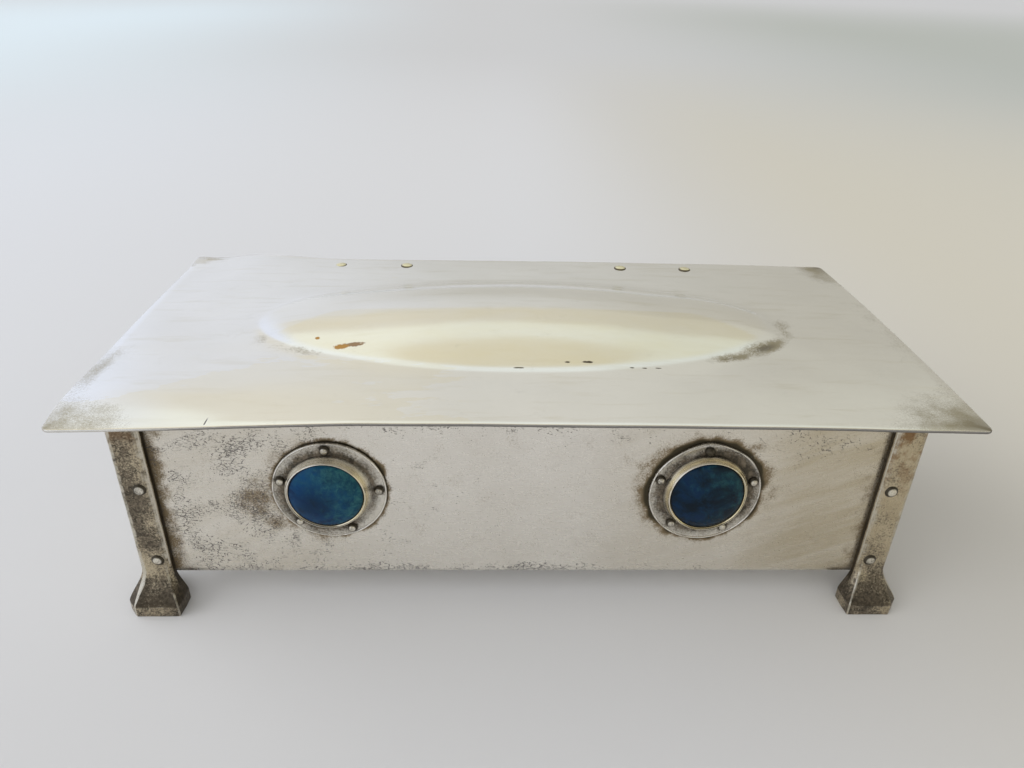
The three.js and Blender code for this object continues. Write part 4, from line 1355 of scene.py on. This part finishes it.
for seed, (side, centre) in enumerate(setting_centres.items()):
    setting = turned("collar_" + side, setting_profile(), centre, SPUN_WOBBLE, seed + 60)
    paint(setting, edge=setting_wear_and_highlight, grime=setting_grime_and_shade, film=setting_film)
    install(setting, "box", "setting_silver", SETTING_SILVER, "setting_" + side)

# %% Two cabochons
STONE_RADIUS = 11.85 * MM
STONE_CROWN = 3.4 * MM
STONE_STEPS = 24
stone_top = front_low.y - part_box("cabochon_left")[0].y


def stone_profile():
    girdle = stone_top - STONE_CROWN
    dome = []
    for step in range(STONE_STEPS):
        angle = math.pi / 2 * step / STONE_STEPS
        dome.append((STONE_RADIUS * math.cos(angle), girdle + STONE_CROWN * math.sin(angle)))
    return [(STONE_RADIUS, SEAT), *dome, (0.0, stone_top)]


def stone_teal(p, centre):
    """More teal to the right and towards the top."""
    across = 0.65 * smooth(p.x - centre.x, -10 * MM, 11 * MM)
    return across + 0.25 * smooth(p.z - centre.z, -3 * MM, 10 * MM)


def stone_deep(p, centre):
    """The right stone is dark all over, and the left one only in a cloud left of its middle."""
    if centre.x > 0:
        return 0.78
    return 0.72 * blob(Vector((p.x - centre.x, p.z - centre.z, 0)), -4, -2, 8, 8)


for side, centre in setting_centres.items():
    stone = turned("stone_" + side, stone_profile(), centre, closed=False)
    # gap marks the painted shade round the stone's edge, under the lip.
    paint(stone, teal=lambda p: stone_teal(p, centre), deep=lambda p: stone_deep(p, centre),
          gap=lambda p: smooth(ring_place(p)[0], 10.5, 11.0))
    install(stone, "box", "blue_glaze", BLUE_GLAZE, "cabochon_" + side)

# %% [markdown]
# ## The rivets
# Thirty-four rivets hold the casket together, in four sizes. They are the same shape, so one Geometry
# Nodes tree makes them all: it turns a rivet from its sizes, sets it on every point that it is given,
# tilts each a little as a hammer would, and dents the heads. The points carry the way that each head
# faces.

# %% The rivet tree
RIVET_SIZES = [
    "Head Radius", "Head Rise", "Shank Radius", "Grip", "Tail Radius", "Tail Rise", "Tilt", "Dent"]
DENT_SCALE = 700.0


def rivet_tree():
    tree = bpy.data.node_groups.new("domed_rivets", "GeometryNodeTree")
    tree.interface.new_socket("Geometry", in_out="INPUT", socket_type="NodeSocketGeometry")
    for label in RIVET_SIZES:
        tree.interface.new_socket(label, in_out="INPUT", socket_type="NodeSocketFloat")
    tree.interface.new_socket("Seed", in_out="INPUT", socket_type="NodeSocketInt")
    tree.interface.new_socket("Finish", in_out="INPUT", socket_type="NodeSocketMaterial")
    tree.interface.new_socket("Geometry", in_out="OUTPUT", socket_type="NodeSocketGeometry")
    board = Board(tree)
    given = board.add("NodeGroupInput").outputs
    sides, dome_rows, foot_rows = 28, 9, 4
    grid = board.add("GeometryNodeMeshGrid", {
        "Size X": 1.0, "Size Y": 1.0, "Vertices X": sides + 1, "Vertices Y": foot_rows + dome_rows})
    spot = board.split(board.add("GeometryNodeInputPosition").outputs[0])
    turn = board.times(board.plus(spot["X"], 0.5), 2 * math.pi)
    row = board.times(board.plus(spot["Y"], 0.5), float(foot_rows + dome_rows - 1))
    row = board.maths("ROUND", row)
    climb = board.maths("DIVIDE", board.minus(row, float(foot_rows)), float(dome_rows - 1))
    climb = board.times(climb, math.pi / 2)
    foot = board.minus(0.0, given["Grip"])
    tip = board.minus(foot, given["Tail Rise"])
    dome_radius = board.times(given["Head Radius"], board.maths("COSINE", climb))
    dome_height = board.times(given["Head Rise"], board.maths("SINE", climb))
    radii = [0.0, given["Tail Radius"], given["Shank Radius"], given["Shank Radius"], dome_radius]
    heights = [tip, foot, foot, 0.0, dome_height]
    which = board.maths("MINIMUM", row, float(foot_rows))
    radius = choose(board, which, radii)
    height = choose(board, which, heights)
    across = board.times(radius, board.maths("COSINE", turn))
    away = board.times(radius, board.maths("SINE", turn))
    shaped = board.add("ShaderNodeCombineXYZ", {0: across, 1: away, 2: height}).outputs[0]
    # rim is 1 round the foot of a head and 0 at its top; the finishes darken it there with tarnish and
    # painted shade.
    flat = board.add("GeometryNodeStoreNamedAttribute", {
        "Geometry": grid.outputs["Mesh"], "Name": "rim", "Value": board.maths("COSINE", climb)},
        data_type="FLOAT", domain="POINT").outputs[0]
    rivet = board.add("GeometryNodeSetPosition", {"Geometry": flat, "Position": shaped}).outputs[0]
    rivet = board.add("GeometryNodeMergeByDistance", {"Geometry": rivet, "Distance": 0.001 * MM}).outputs[0]
    outward = board.add("GeometryNodeInputNamedAttribute", {"Name": "outward"}, data_type="FLOAT_VECTOR")
    way = {"Vector": outward.outputs[0]}
    facing = board.add("FunctionNodeAlignRotationToVector", way, axis="Z").outputs[0]
    lean = board.add("FunctionNodeRandomValue", {"Seed": given["Seed"]}, data_type="FLOAT_VECTOR")
    board.feed(lean.inputs[0], (-1.0, -1.0, -3.0))
    board.feed(lean.inputs[1], (1.0, 1.0, 3.0))
    tilt = board.resize(lean.outputs[0], given["Tilt"])
    swing = board.add("FunctionNodeEulerToRotation", {0: tilt}).outputs[0]
    facing = board.add("FunctionNodeRotateRotation", {"Rotation": facing, "Rotate By": swing},
                       rotation_space="LOCAL").outputs[0]
    placed = board.add("GeometryNodeInstanceOnPoints", {
        "Points": given["Geometry"], "Instance": rivet, "Rotation": facing}).outputs[0]
    real = board.add("GeometryNodeRealizeInstances", {"Geometry": placed}).outputs[0]
    bumps = board.add("ShaderNodeTexNoise", {"Scale": DENT_SCALE, "Detail": 1.0}).outputs["Fac"]
    push = board.times(board.minus(bumps, 0.5), given["Dent"])
    normal = board.add("GeometryNodeInputNormal").outputs[0]
    offset = board.resize(normal, push)
    real = board.add("GeometryNodeSetPosition", {"Geometry": real, "Offset": offset}).outputs[0]
    done = board.add("GeometryNodeSetMaterial", {"Geometry": real, "Material": given["Finish"]}).outputs[0]
    board.feed(board.add("NodeGroupOutput").inputs[0], done)
    return tree


def choose(board, which, values):
    """The value for a row number."""
    switch = board.add("GeometryNodeIndexSwitch", data_type="FLOAT")
    while len(switch.index_switch_items) < len(values):
        switch.index_switch_items.new()
    board.feed(switch.inputs[0], which)
    for i, value in enumerate(values):
        board.feed(switch.inputs[i + 1], value)
    return switch.outputs[0]


RIVETS = rivet_tree()
print("tree:", RIVETS.name, "inputs:", RIVET_SIZES)

# %% Set rivets on a list of points
TAIL_RISE = 0.55 * MM
TAIL_SPREAD = 1.4
TILT = 0.05
DENT = 0.14 * MM
STAINED = {"setting_rivet_right_2": 0.75}


def rivet_set(name, sizes, nodes, finish, seed):
    """One mesh of rivets, with each head's top where the solid rivet has it."""
    points, ways = [], []
    for node, way in nodes.items():
        low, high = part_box(node)
        way = Vector(way)
        middle = (low + high) / 2
        reach = sum(abs(way[i]) * (high[i] - low[i]) for i in range(3)) / 2
        points.append(middle + way * (reach - sizes["Head Rise"]))
        ways.append(way)
    mesh = bpy.data.meshes.new(name)
    mesh.from_pydata(points, [], [])
    outward = mesh.attributes.new("outward", "FLOAT_VECTOR", "POINT")
    outward.data.foreach_set("vector", [value for way in ways for value in way])
    store(mesh, "stain", [STAINED.get(node, 0.0) for node in nodes])
    holder = bpy.data.objects.new(name + "_points", mesh)
    scene.collection.objects.link(holder)
    modifier = holder.modifiers.new("rivets", "NODES")
    modifier.node_group = RIVETS
    values = {**sizes, "Tail Radius": sizes["Shank Radius"] * TAIL_SPREAD, "Tail Rise": TAIL_RISE,
              "Seed": seed, "Finish": finish}
    for item in RIVETS.interface.items_tree:
        if item.in_out == "INPUT" and item.name in values:
            modifier[item.identifier] = values[item.name]
    evaluated = holder.evaluated_get(bpy.context.evaluated_depsgraph_get())
    solid = bpy.data.meshes.new_from_object(evaluated)
    bpy.data.objects.remove(holder)
    solid.name = name
    piece = bpy.data.objects.new(name, solid)
    scene.collection.objects.link(piece)
    return piece


ways = {"front": (0, -1, 0), "back": (0, 1, 0), "left": (-1, 0, 0), "right": (1, 0, 0)}
leg_ends = {"front": ("left", "right"), "right": ("front", "back"), "back": ("right", "left"),
            "left": ("back", "front")}
leg_nodes = {f"leg_rivet_{side}_{end}_{level}": ways[side]
             for side, ends in leg_ends.items() for end in ends for level in ("lower", "upper")}
setting_nodes = {node: ways["front"] for node in setting_rivets}
lid_nodes = {f"lid_rivet_{side}_{i}": (0, 0, 1) for side in ("left", "right") for i in (1, 2)}
back_nodes = {f"back_rivet_{side}_{i}": ways["back"] for side in ("left", "right") for i in (1, 2)}
print("rivets:", len(leg_nodes) + len(setting_nodes) + len(lid_nodes) + len(back_nodes))

# %% Four sets of rivets
rivet_kinds = {
    "leg_rivets": (leg_nodes, "box", "leg_silver", RIVET_SILVER, {
        "Head Radius": 2.05 * MM, "Head Rise": 1.0 * MM, "Shank Radius": 0.9 * MM, "Grip": 4.2 * MM}),
    "setting_rivets": (setting_nodes, "box", "setting_silver", RIVET_SILVER, {
        "Head Radius": 1.55 * MM, "Head Rise": 1.2 * MM, "Shank Radius": 0.7 * MM, "Grip": 2.15 * MM}),
    "lid_rivets": (lid_nodes, "lid", "brass", BRASS, {
        "Head Radius": 2.4 * MM, "Head Rise": 0.85 * MM, "Shank Radius": 0.9 * MM, "Grip": 2.3 * MM}),
    "back_rivets": (back_nodes, "box", "brass", BRASS, {
        "Head Radius": 1.5 * MM, "Head Rise": 0.65 * MM, "Shank Radius": 0.9 * MM, "Grip": 2.3 * MM}),
}
for seed, (name, (nodes, body, slot, finish, sizes)) in enumerate(rivet_kinds.items()):
    rivets = rivet_set(name, {**sizes, "Tilt": TILT, "Dent": DENT}, nodes, finish, seed)
    install(rivets, body, slot, None, *nodes)

# %% [markdown]
# ## The hinges
# A butt hinge is two leaves that share a barrel of knuckles, with a pin through it. The plates are eased
# sheets and the knuckles are short tubes. They sit outside the back wall, under the lid's overhang.

# %% Knuckles, plates and pins
KNUCKLE = 2.4 * MM
KNUCKLE_BORE = 1.05 * MM
KNUCKLE_GAP = 0.2 * MM
KNUCKLES = 5
LEAF = 1.0 * MM
PIN = 0.95 * MM
BARREL_SIDES = 40
EASE = 0.12 * MM
PIN_EASE = 0.15 * MM
LEAF_CELL = 2 * MM
WEB_TUCK = 0.02 * MM


def tube(x0, x1, outer, inner, ease):
    """Points and faces of a short tube along X on the hinge axis, or of a domed rod where inner is 0."""
    if inner:
        profile = [(x0, inner), (x0, outer - ease), (x0 + ease, outer), (x1 - ease, outer),
                   (x1, outer - ease), (x1, inner)]
    else:
        profile = [(x0, 0.0), (x0, outer * 0.5), (x0 + ease, outer * 0.85), (x0 + 2 * ease, outer),
                   (x1 - 2 * ease, outer), (x1 - ease, outer * 0.85), (x1, outer * 0.5), (x1, 0.0)]
    points = []
    for x, radius in profile:
        for side in range(BARREL_SIDES):
            angle = 2 * math.pi * side / BARREL_SIDES
            around = Vector((0, math.cos(angle), math.sin(angle)))
            points.append(Vector((x, hinge_axis.y, hinge_axis.z)) + around * radius)
    return points, ring_faces(len(profile), BARREL_SIDES, closed=bool(inner))


def slab(low, high):
    return capped(sheet_rings(low, high, 0, LEAF_CELL, EASE))


def joined(name, parts):
    """One piece of several closed shells."""
    points, faces = [], []
    for part_points, part_faces in parts:
        start = len(points)
        points += part_points
        faces += [tuple(start + i for i in face) for face in part_faces]
    return make_piece(name, points, faces, 40)


def leaf(name, x0, length, first, on_lid):
    """A leaf's plate and its share of the knuckles, with the webs that join them."""
    pitch = length / KNUCKLES
    y, z = hinge_axis.y, hinge_axis.z
    node_low, node_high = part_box(name)
    parts = []
    if on_lid:
        plate_low = Vector((node_low.x, y + KNUCKLE + KNUCKLE_GAP, z + KNUCKLE - LEAF))
        plate_high = Vector((node_high.x, node_high.y, z + KNUCKLE))
    else:
        plate_low = Vector((node_low.x, y - KNUCKLE, node_low.z))
        plate_high = Vector((node_high.x, y - KNUCKLE + LEAF, z - KNUCKLE - KNUCKLE_GAP))
    parts.append(slab(plate_low, plate_high))
    for i in range(first, KNUCKLES, 2):
        start = x0 + i * pitch + KNUCKLE_GAP / 2
        end = start + pitch - KNUCKLE_GAP
        parts.append(tube(start, end, KNUCKLE, KNUCKLE_BORE, EASE))
        if on_lid:
            web_low = Vector((start, y, z + KNUCKLE - LEAF))
            web_high = Vector((end, plate_low.y + LEAF, z + KNUCKLE - WEB_TUCK))
        else:
            web_low = Vector((start, y - KNUCKLE + WEB_TUCK, plate_high.z - LEAF))
            web_high = Vector((end, y - KNUCKLE + LEAF, z))
        parts.append(slab(web_low, web_high))
    return parts


for side in ("left", "right"):
    pin_low, pin_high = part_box("hinge_pin_" + side)
    back_leaf_low, back_leaf_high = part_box("hinge_back_leaf_" + side)
    start, length = back_leaf_low.x, back_leaf_high.x - back_leaf_low.x
    for kind, first, body in (("back", 0, "box"), ("lid", 1, "lid")):
        node = f"hinge_{kind}_leaf_{side}"
        piece = joined(f"{kind}_leaf_{side}", leaf(node, start, length, first, kind == "lid"))
        paint(piece, edge=lambda p: 0.25, grime=lambda p: 0.55)
        install(piece, body, "hinge_silver", SETTING_SILVER, node)
    pin = joined("pin_" + side, [tube(pin_low.x, pin_high.x, PIN, 0, PIN_EASE)])
    install(pin, "box", "brass", BRASS, "hinge_pin_" + side)

# %% [markdown]
# ## The velvet pad
# The pad is a card covered with wadding and velvet, and it lies loose in the box. Cloth gives it its
# swell: a bag a little flatter than the pad, stuck down where it rests and cut a little slack, is blown
# up with no weight on it. Left free it would blow up far too much, so each point keeps the way that it
# moved but only a short part of the distance.

# %% The bag before it swells
PAD_CELL = 4.5 * MM
PAD_EDGE = 0.9 * MM
PAD_INSET = Vector((0.6, 0.6, 0.0)) * MM
PAD_FLAT = 2.2 * MM
PAD_STUCK = 7.0 * MM
pad_top = Vector((pad_high.x, pad_high.y, pad_low.z + PAD_FLAT))
pad = loft("velvet_lining", sheet_rings(pad_low + PAD_INSET, pad_top - PAD_INSET, 0, PAD_CELL, PAD_EDGE), 70)
print("bag's points:", len(pad.data.vertices))

# %% Blow it up as cloth
PRESSURE = 4.0
SLACK = -0.03
SWELL_FRAMES = 20
SWELL_CAP = 1.0 * MM


def stuck_down(p):
    rests = p.z < pad_low.z + 0.1 * MM
    return rests and abs(p.x) < pad_high.x - PAD_STUCK and abs(p.y) < pad_high.y - PAD_STUCK


def swell(pad):
    """Lets cloth take the pad's shape, then keeps the points and drops the simulation."""
    resting = pad.vertex_groups.new(name="resting")
    resting.add([vertex.index for vertex in pad.data.vertices if stuck_down(vertex.co)], 1.0, "REPLACE")
    modifier = pad.modifiers.new("swell", "CLOTH")
    modifier.settings.use_pressure = True
    modifier.settings.uniform_pressure_force = PRESSURE
    modifier.settings.shrink_min = SLACK
    modifier.settings.vertex_group_mass = resting.name
    modifier.settings.effector_weights.gravity = 0
    for step in range(1, SWELL_FRAMES + 1):
        scene.frame_set(step)
    swollen = pad.evaluated_get(bpy.context.evaluated_depsgraph_get())
    moves = [after.co - before.co for before, after in zip(pad.data.vertices, swollen.data.vertices)]
    pad.modifiers.remove(modifier)
    pad.vertex_groups.remove(resting)
    scene.frame_set(1)
    for vertex, move in zip(pad.data.vertices, moves):
        far = max(move.length, 1e-9)
        vertex.co += move * SWELL_CAP * math.tanh(far / SWELL_CAP) / far
        vertex.co.z = max(vertex.co.z, pad_low.z)
    return max(move.length for move in moves)


print("cloth moved, mm:", round(swell(pad) / MM, 2))

# %% Make it finer and install it
finer = pad.modifiers.new("finer", "SUBSURF")
finer.levels = finer.render_levels = 1
fine_mesh = bpy.data.meshes.new_from_object(pad.evaluated_get(bpy.context.evaluated_depsgraph_get()))
pad.modifiers.remove(finer)
pad.data = fine_mesh
install(pad, "box", "velvet", VELVET, "velvet_pad")
print("pad's top, mm:", round(max(vertex.co.z for vertex in pad.data.vertices) / MM, 2))

# %% [markdown]
# ## Floor, light and camera
# The casket stands on pale paper in soft daylight. The paper's colour carries painted light: it is lighter
# and bluer towards the window on the left and behind the casket, darker and warmer to the right. Polished
# metal shows its surroundings, so all the light comes from a world that changes with direction. The metal
# sees grey paper low down, a cream room above it, a dim room behind the camera and a wide bluish window on
# the left. Other surfaces are lit more evenly.

# %% Pale floor
FLOOR_SIZE = 9.0
NEUTRAL_PAPER = (0.69, 0.688, 0.68)
PAINTED_LIGHT_LIFT = (1.10, 1.105, 1.115)
UNCHANGED = (1.0, 1.0, 1.0)


def pale_floor():
    material, board, shader, place = new_material("pale_paper", Roughness=0.9)
    spot = board.split(place)
    # Painted light: lighter and bluer towards the window on the left, darker and warmer to the right.
    from_left = board.fade(spot["X"], -0.5, -0.02)
    colour = board.mix(from_left, (0.74, 0.752, 0.775), (0.705, 0.70, 0.69))
    colour = board.mix(board.fade(spot["X"], 0.0, 0.32), colour, (0.70, 0.66, 0.55))
    # Painted light: lighter behind the casket and to its left.
    lighter = board.times(board.fade(spot["Y"], -0.20, 0.15), board.fade(spot["X"], 0.2, 0.0))
    colour = board.vectors("MULTIPLY", colour, board.mix(lighter, UNCHANGED, PAINTED_LIGHT_LIFT))
    colour = board.mix(board.fade(spot["Y"], 0.4, 1.7), colour, NEUTRAL_PAPER)
    # Painted light far off: bluish to the far left, darker to the far right.
    far = board.fade(spot["Y"], 0.1, 1.2)
    for reach, tint in ((-1.2, (0.83, 0.94, 1.0)), (1.2, (0.52, 0.54, 0.49))):
        colour = board.mix(board.times(far, board.fade(spot["X"], 0.0, reach)), colour, tint)
    away = board.fade(board.vectors("LENGTH", place), 2.4, 5.0)
    colour = board.mix(away, colour, NEUTRAL_PAPER)
    board.feed(shader.inputs["Base Color"], colour)
    return material


floor_points = [(x * FLOOR_SIZE, y * FLOOR_SIZE, 0.0) for x, y in ((-1, -1), (1, -1), (1, 1), (-1, 1))]
floor = make_piece("floor", floor_points, [(0, 1, 2, 3)])
floor.data.materials.append(pale_floor())
floor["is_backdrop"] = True
print("floor, m:", 2 * FLOOR_SIZE)

# %% Soft daylight
# The line between paper and room climbs away from the camera at this slope
ROOM_SLOPE = 0.577


def daylight():
    world = bpy.data.worlds.new("daylight")
    scene.world = world
    world.use_nodes = True
    board = Board(world.node_tree)
    spot = board.split(board.add("ShaderNodeTexCoord").outputs["Generated"])
    paper = board.mix(board.fade(spot["X"], -0.36, 0.05), (0.78, 0.80, 0.84), (0.66, 0.66, 0.63))
    paper = board.mix(board.fade(spot["X"], 0.0, 0.45), paper, (0.52, 0.50, 0.43))
    dim = board.times(board.fade(spot["Z"], 0.40, 0.16), board.fade(spot["X"], -0.28, -0.02))
    dim = board.times(dim, 0.62)
    paper = board.mix(dim, paper, (0.50, 0.485, 0.43))
    lift = board.scaled(spot["Y"], -ROOM_SLOPE, spot["Z"])
    room = board.mix(board.fade(lift, 0.21, 0.29), (0.70, 0.685, 0.62), (0.84, 0.87, 0.82))
    room = board.mix(board.fade(lift, 0.44, 0.52), room, (0.74, 0.715, 0.60))
    side = board.mix(board.fade(spot["X"], -0.30, 0.0), (1.13, 1.13, 1.14), UNCHANGED)
    side = board.mix(board.fade(spot["X"], 0.0, 0.45), side, (0.87, 0.87, 0.83))
    room = board.vectors("MULTIPLY", room, side)
    shown = board.mix(board.fade(lift, -0.04, 0.0), paper, room)
    behind = board.times(board.fade(spot["Y"], -0.15, -0.5), board.fade(spot["Z"], 0.05, 0.35))
    shown = board.mix(behind, shown, (0.22, 0.21, 0.19))
    low = board.fade(spot["Z"], 0.85, 0.6)
    window = board.times(board.fade(spot["X"], -0.42, -0.8), low)
    pane = board.times(board.fade(spot["X"], -0.38, -0.48), low)
    shown = board.mix(pane, shown, (0.83, 0.88, 0.99))
    soft = board.mix(board.fade(spot["Z"], 0.0, 1.0), (1.15, 1.15, 1.15), (0.44, 0.44, 0.44))
    soft = board.vectors("MULTIPLY", soft, board.scaled(spot["Y"], -0.55, 1.0))
    soft = board.vectors("MULTIPLY", soft, board.scaled(spot["X"], -0.4, 1.0))
    soft = board.mix(window, soft, (2.9, 2.95, 3.1))
    ray = board.add("ShaderNodeLightPath").outputs
    sky = board.mix(ray["Is Glossy Ray"], soft, shown)
    sky = board.mix(ray["Is Camera Ray"], sky, (0.62, 0.62, 0.615))
    background = world.node_tree.nodes["Background"]
    board.feed(background.inputs["Color"], sky)
    background.inputs["Strength"].default_value = 1.0
    return world


print("world:", daylight().name)

# %% Camera at the photograph's angle
FOCAL_PIXELS = 772.4
FRAME_PIXELS = 1024
SENSOR_WIDTH = 36.0
NEAR_CLIP = 0.01
CAMERA_PLACE = Vector((-10.535, -236.201, 183.349)) * MM
PITCH_DOWN = 0.505368
YAW = 0.0374144
ROLL = -0.0251994


def photo_camera():
    lens = bpy.data.cameras.new("photo_camera")
    lens.sensor_width = SENSOR_WIDTH
    lens.lens = FOCAL_PIXELS / FRAME_PIXELS * SENSOR_WIDTH
    lens.clip_start = NEAR_CLIP
    forward = Vector((math.sin(YAW) * math.cos(PITCH_DOWN), math.cos(YAW) * math.cos(PITCH_DOWN),
                      -math.sin(PITCH_DOWN)))
    level = Vector((math.cos(YAW), -math.sin(YAW), 0))
    down = forward.cross(level)
    right = math.cos(ROLL) * level + math.sin(ROLL) * down
    up = math.sin(ROLL) * level - math.cos(ROLL) * down
    camera = bpy.data.objects.new("photo_camera", lens)
    turn = Matrix((right, up, -forward)).transposed().to_4x4()
    camera.matrix_world = Matrix.Translation(CAMERA_PLACE) @ turn
    scene.collection.objects.link(camera)
    return camera


scene.camera = photo_camera()
print("lens, mm:", round(scene.camera.data.lens, 2))

# %% [markdown]
# ## Size
# The dressed casket must be as large as the solids, apart from what cloth adds, so both boxes are measured
# and kept, and the last line prints how much the dressed casket has grown.

# %% Measure the two boxes
low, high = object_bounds()
sizes = {"cad": [list(cad_low), list(cad_high)], "visual": [list(low), list(high)]}
print("grown, mm:", [round((a - b) / MM, 2) for a, b in zip(high - low, cad_high - cad_low)])
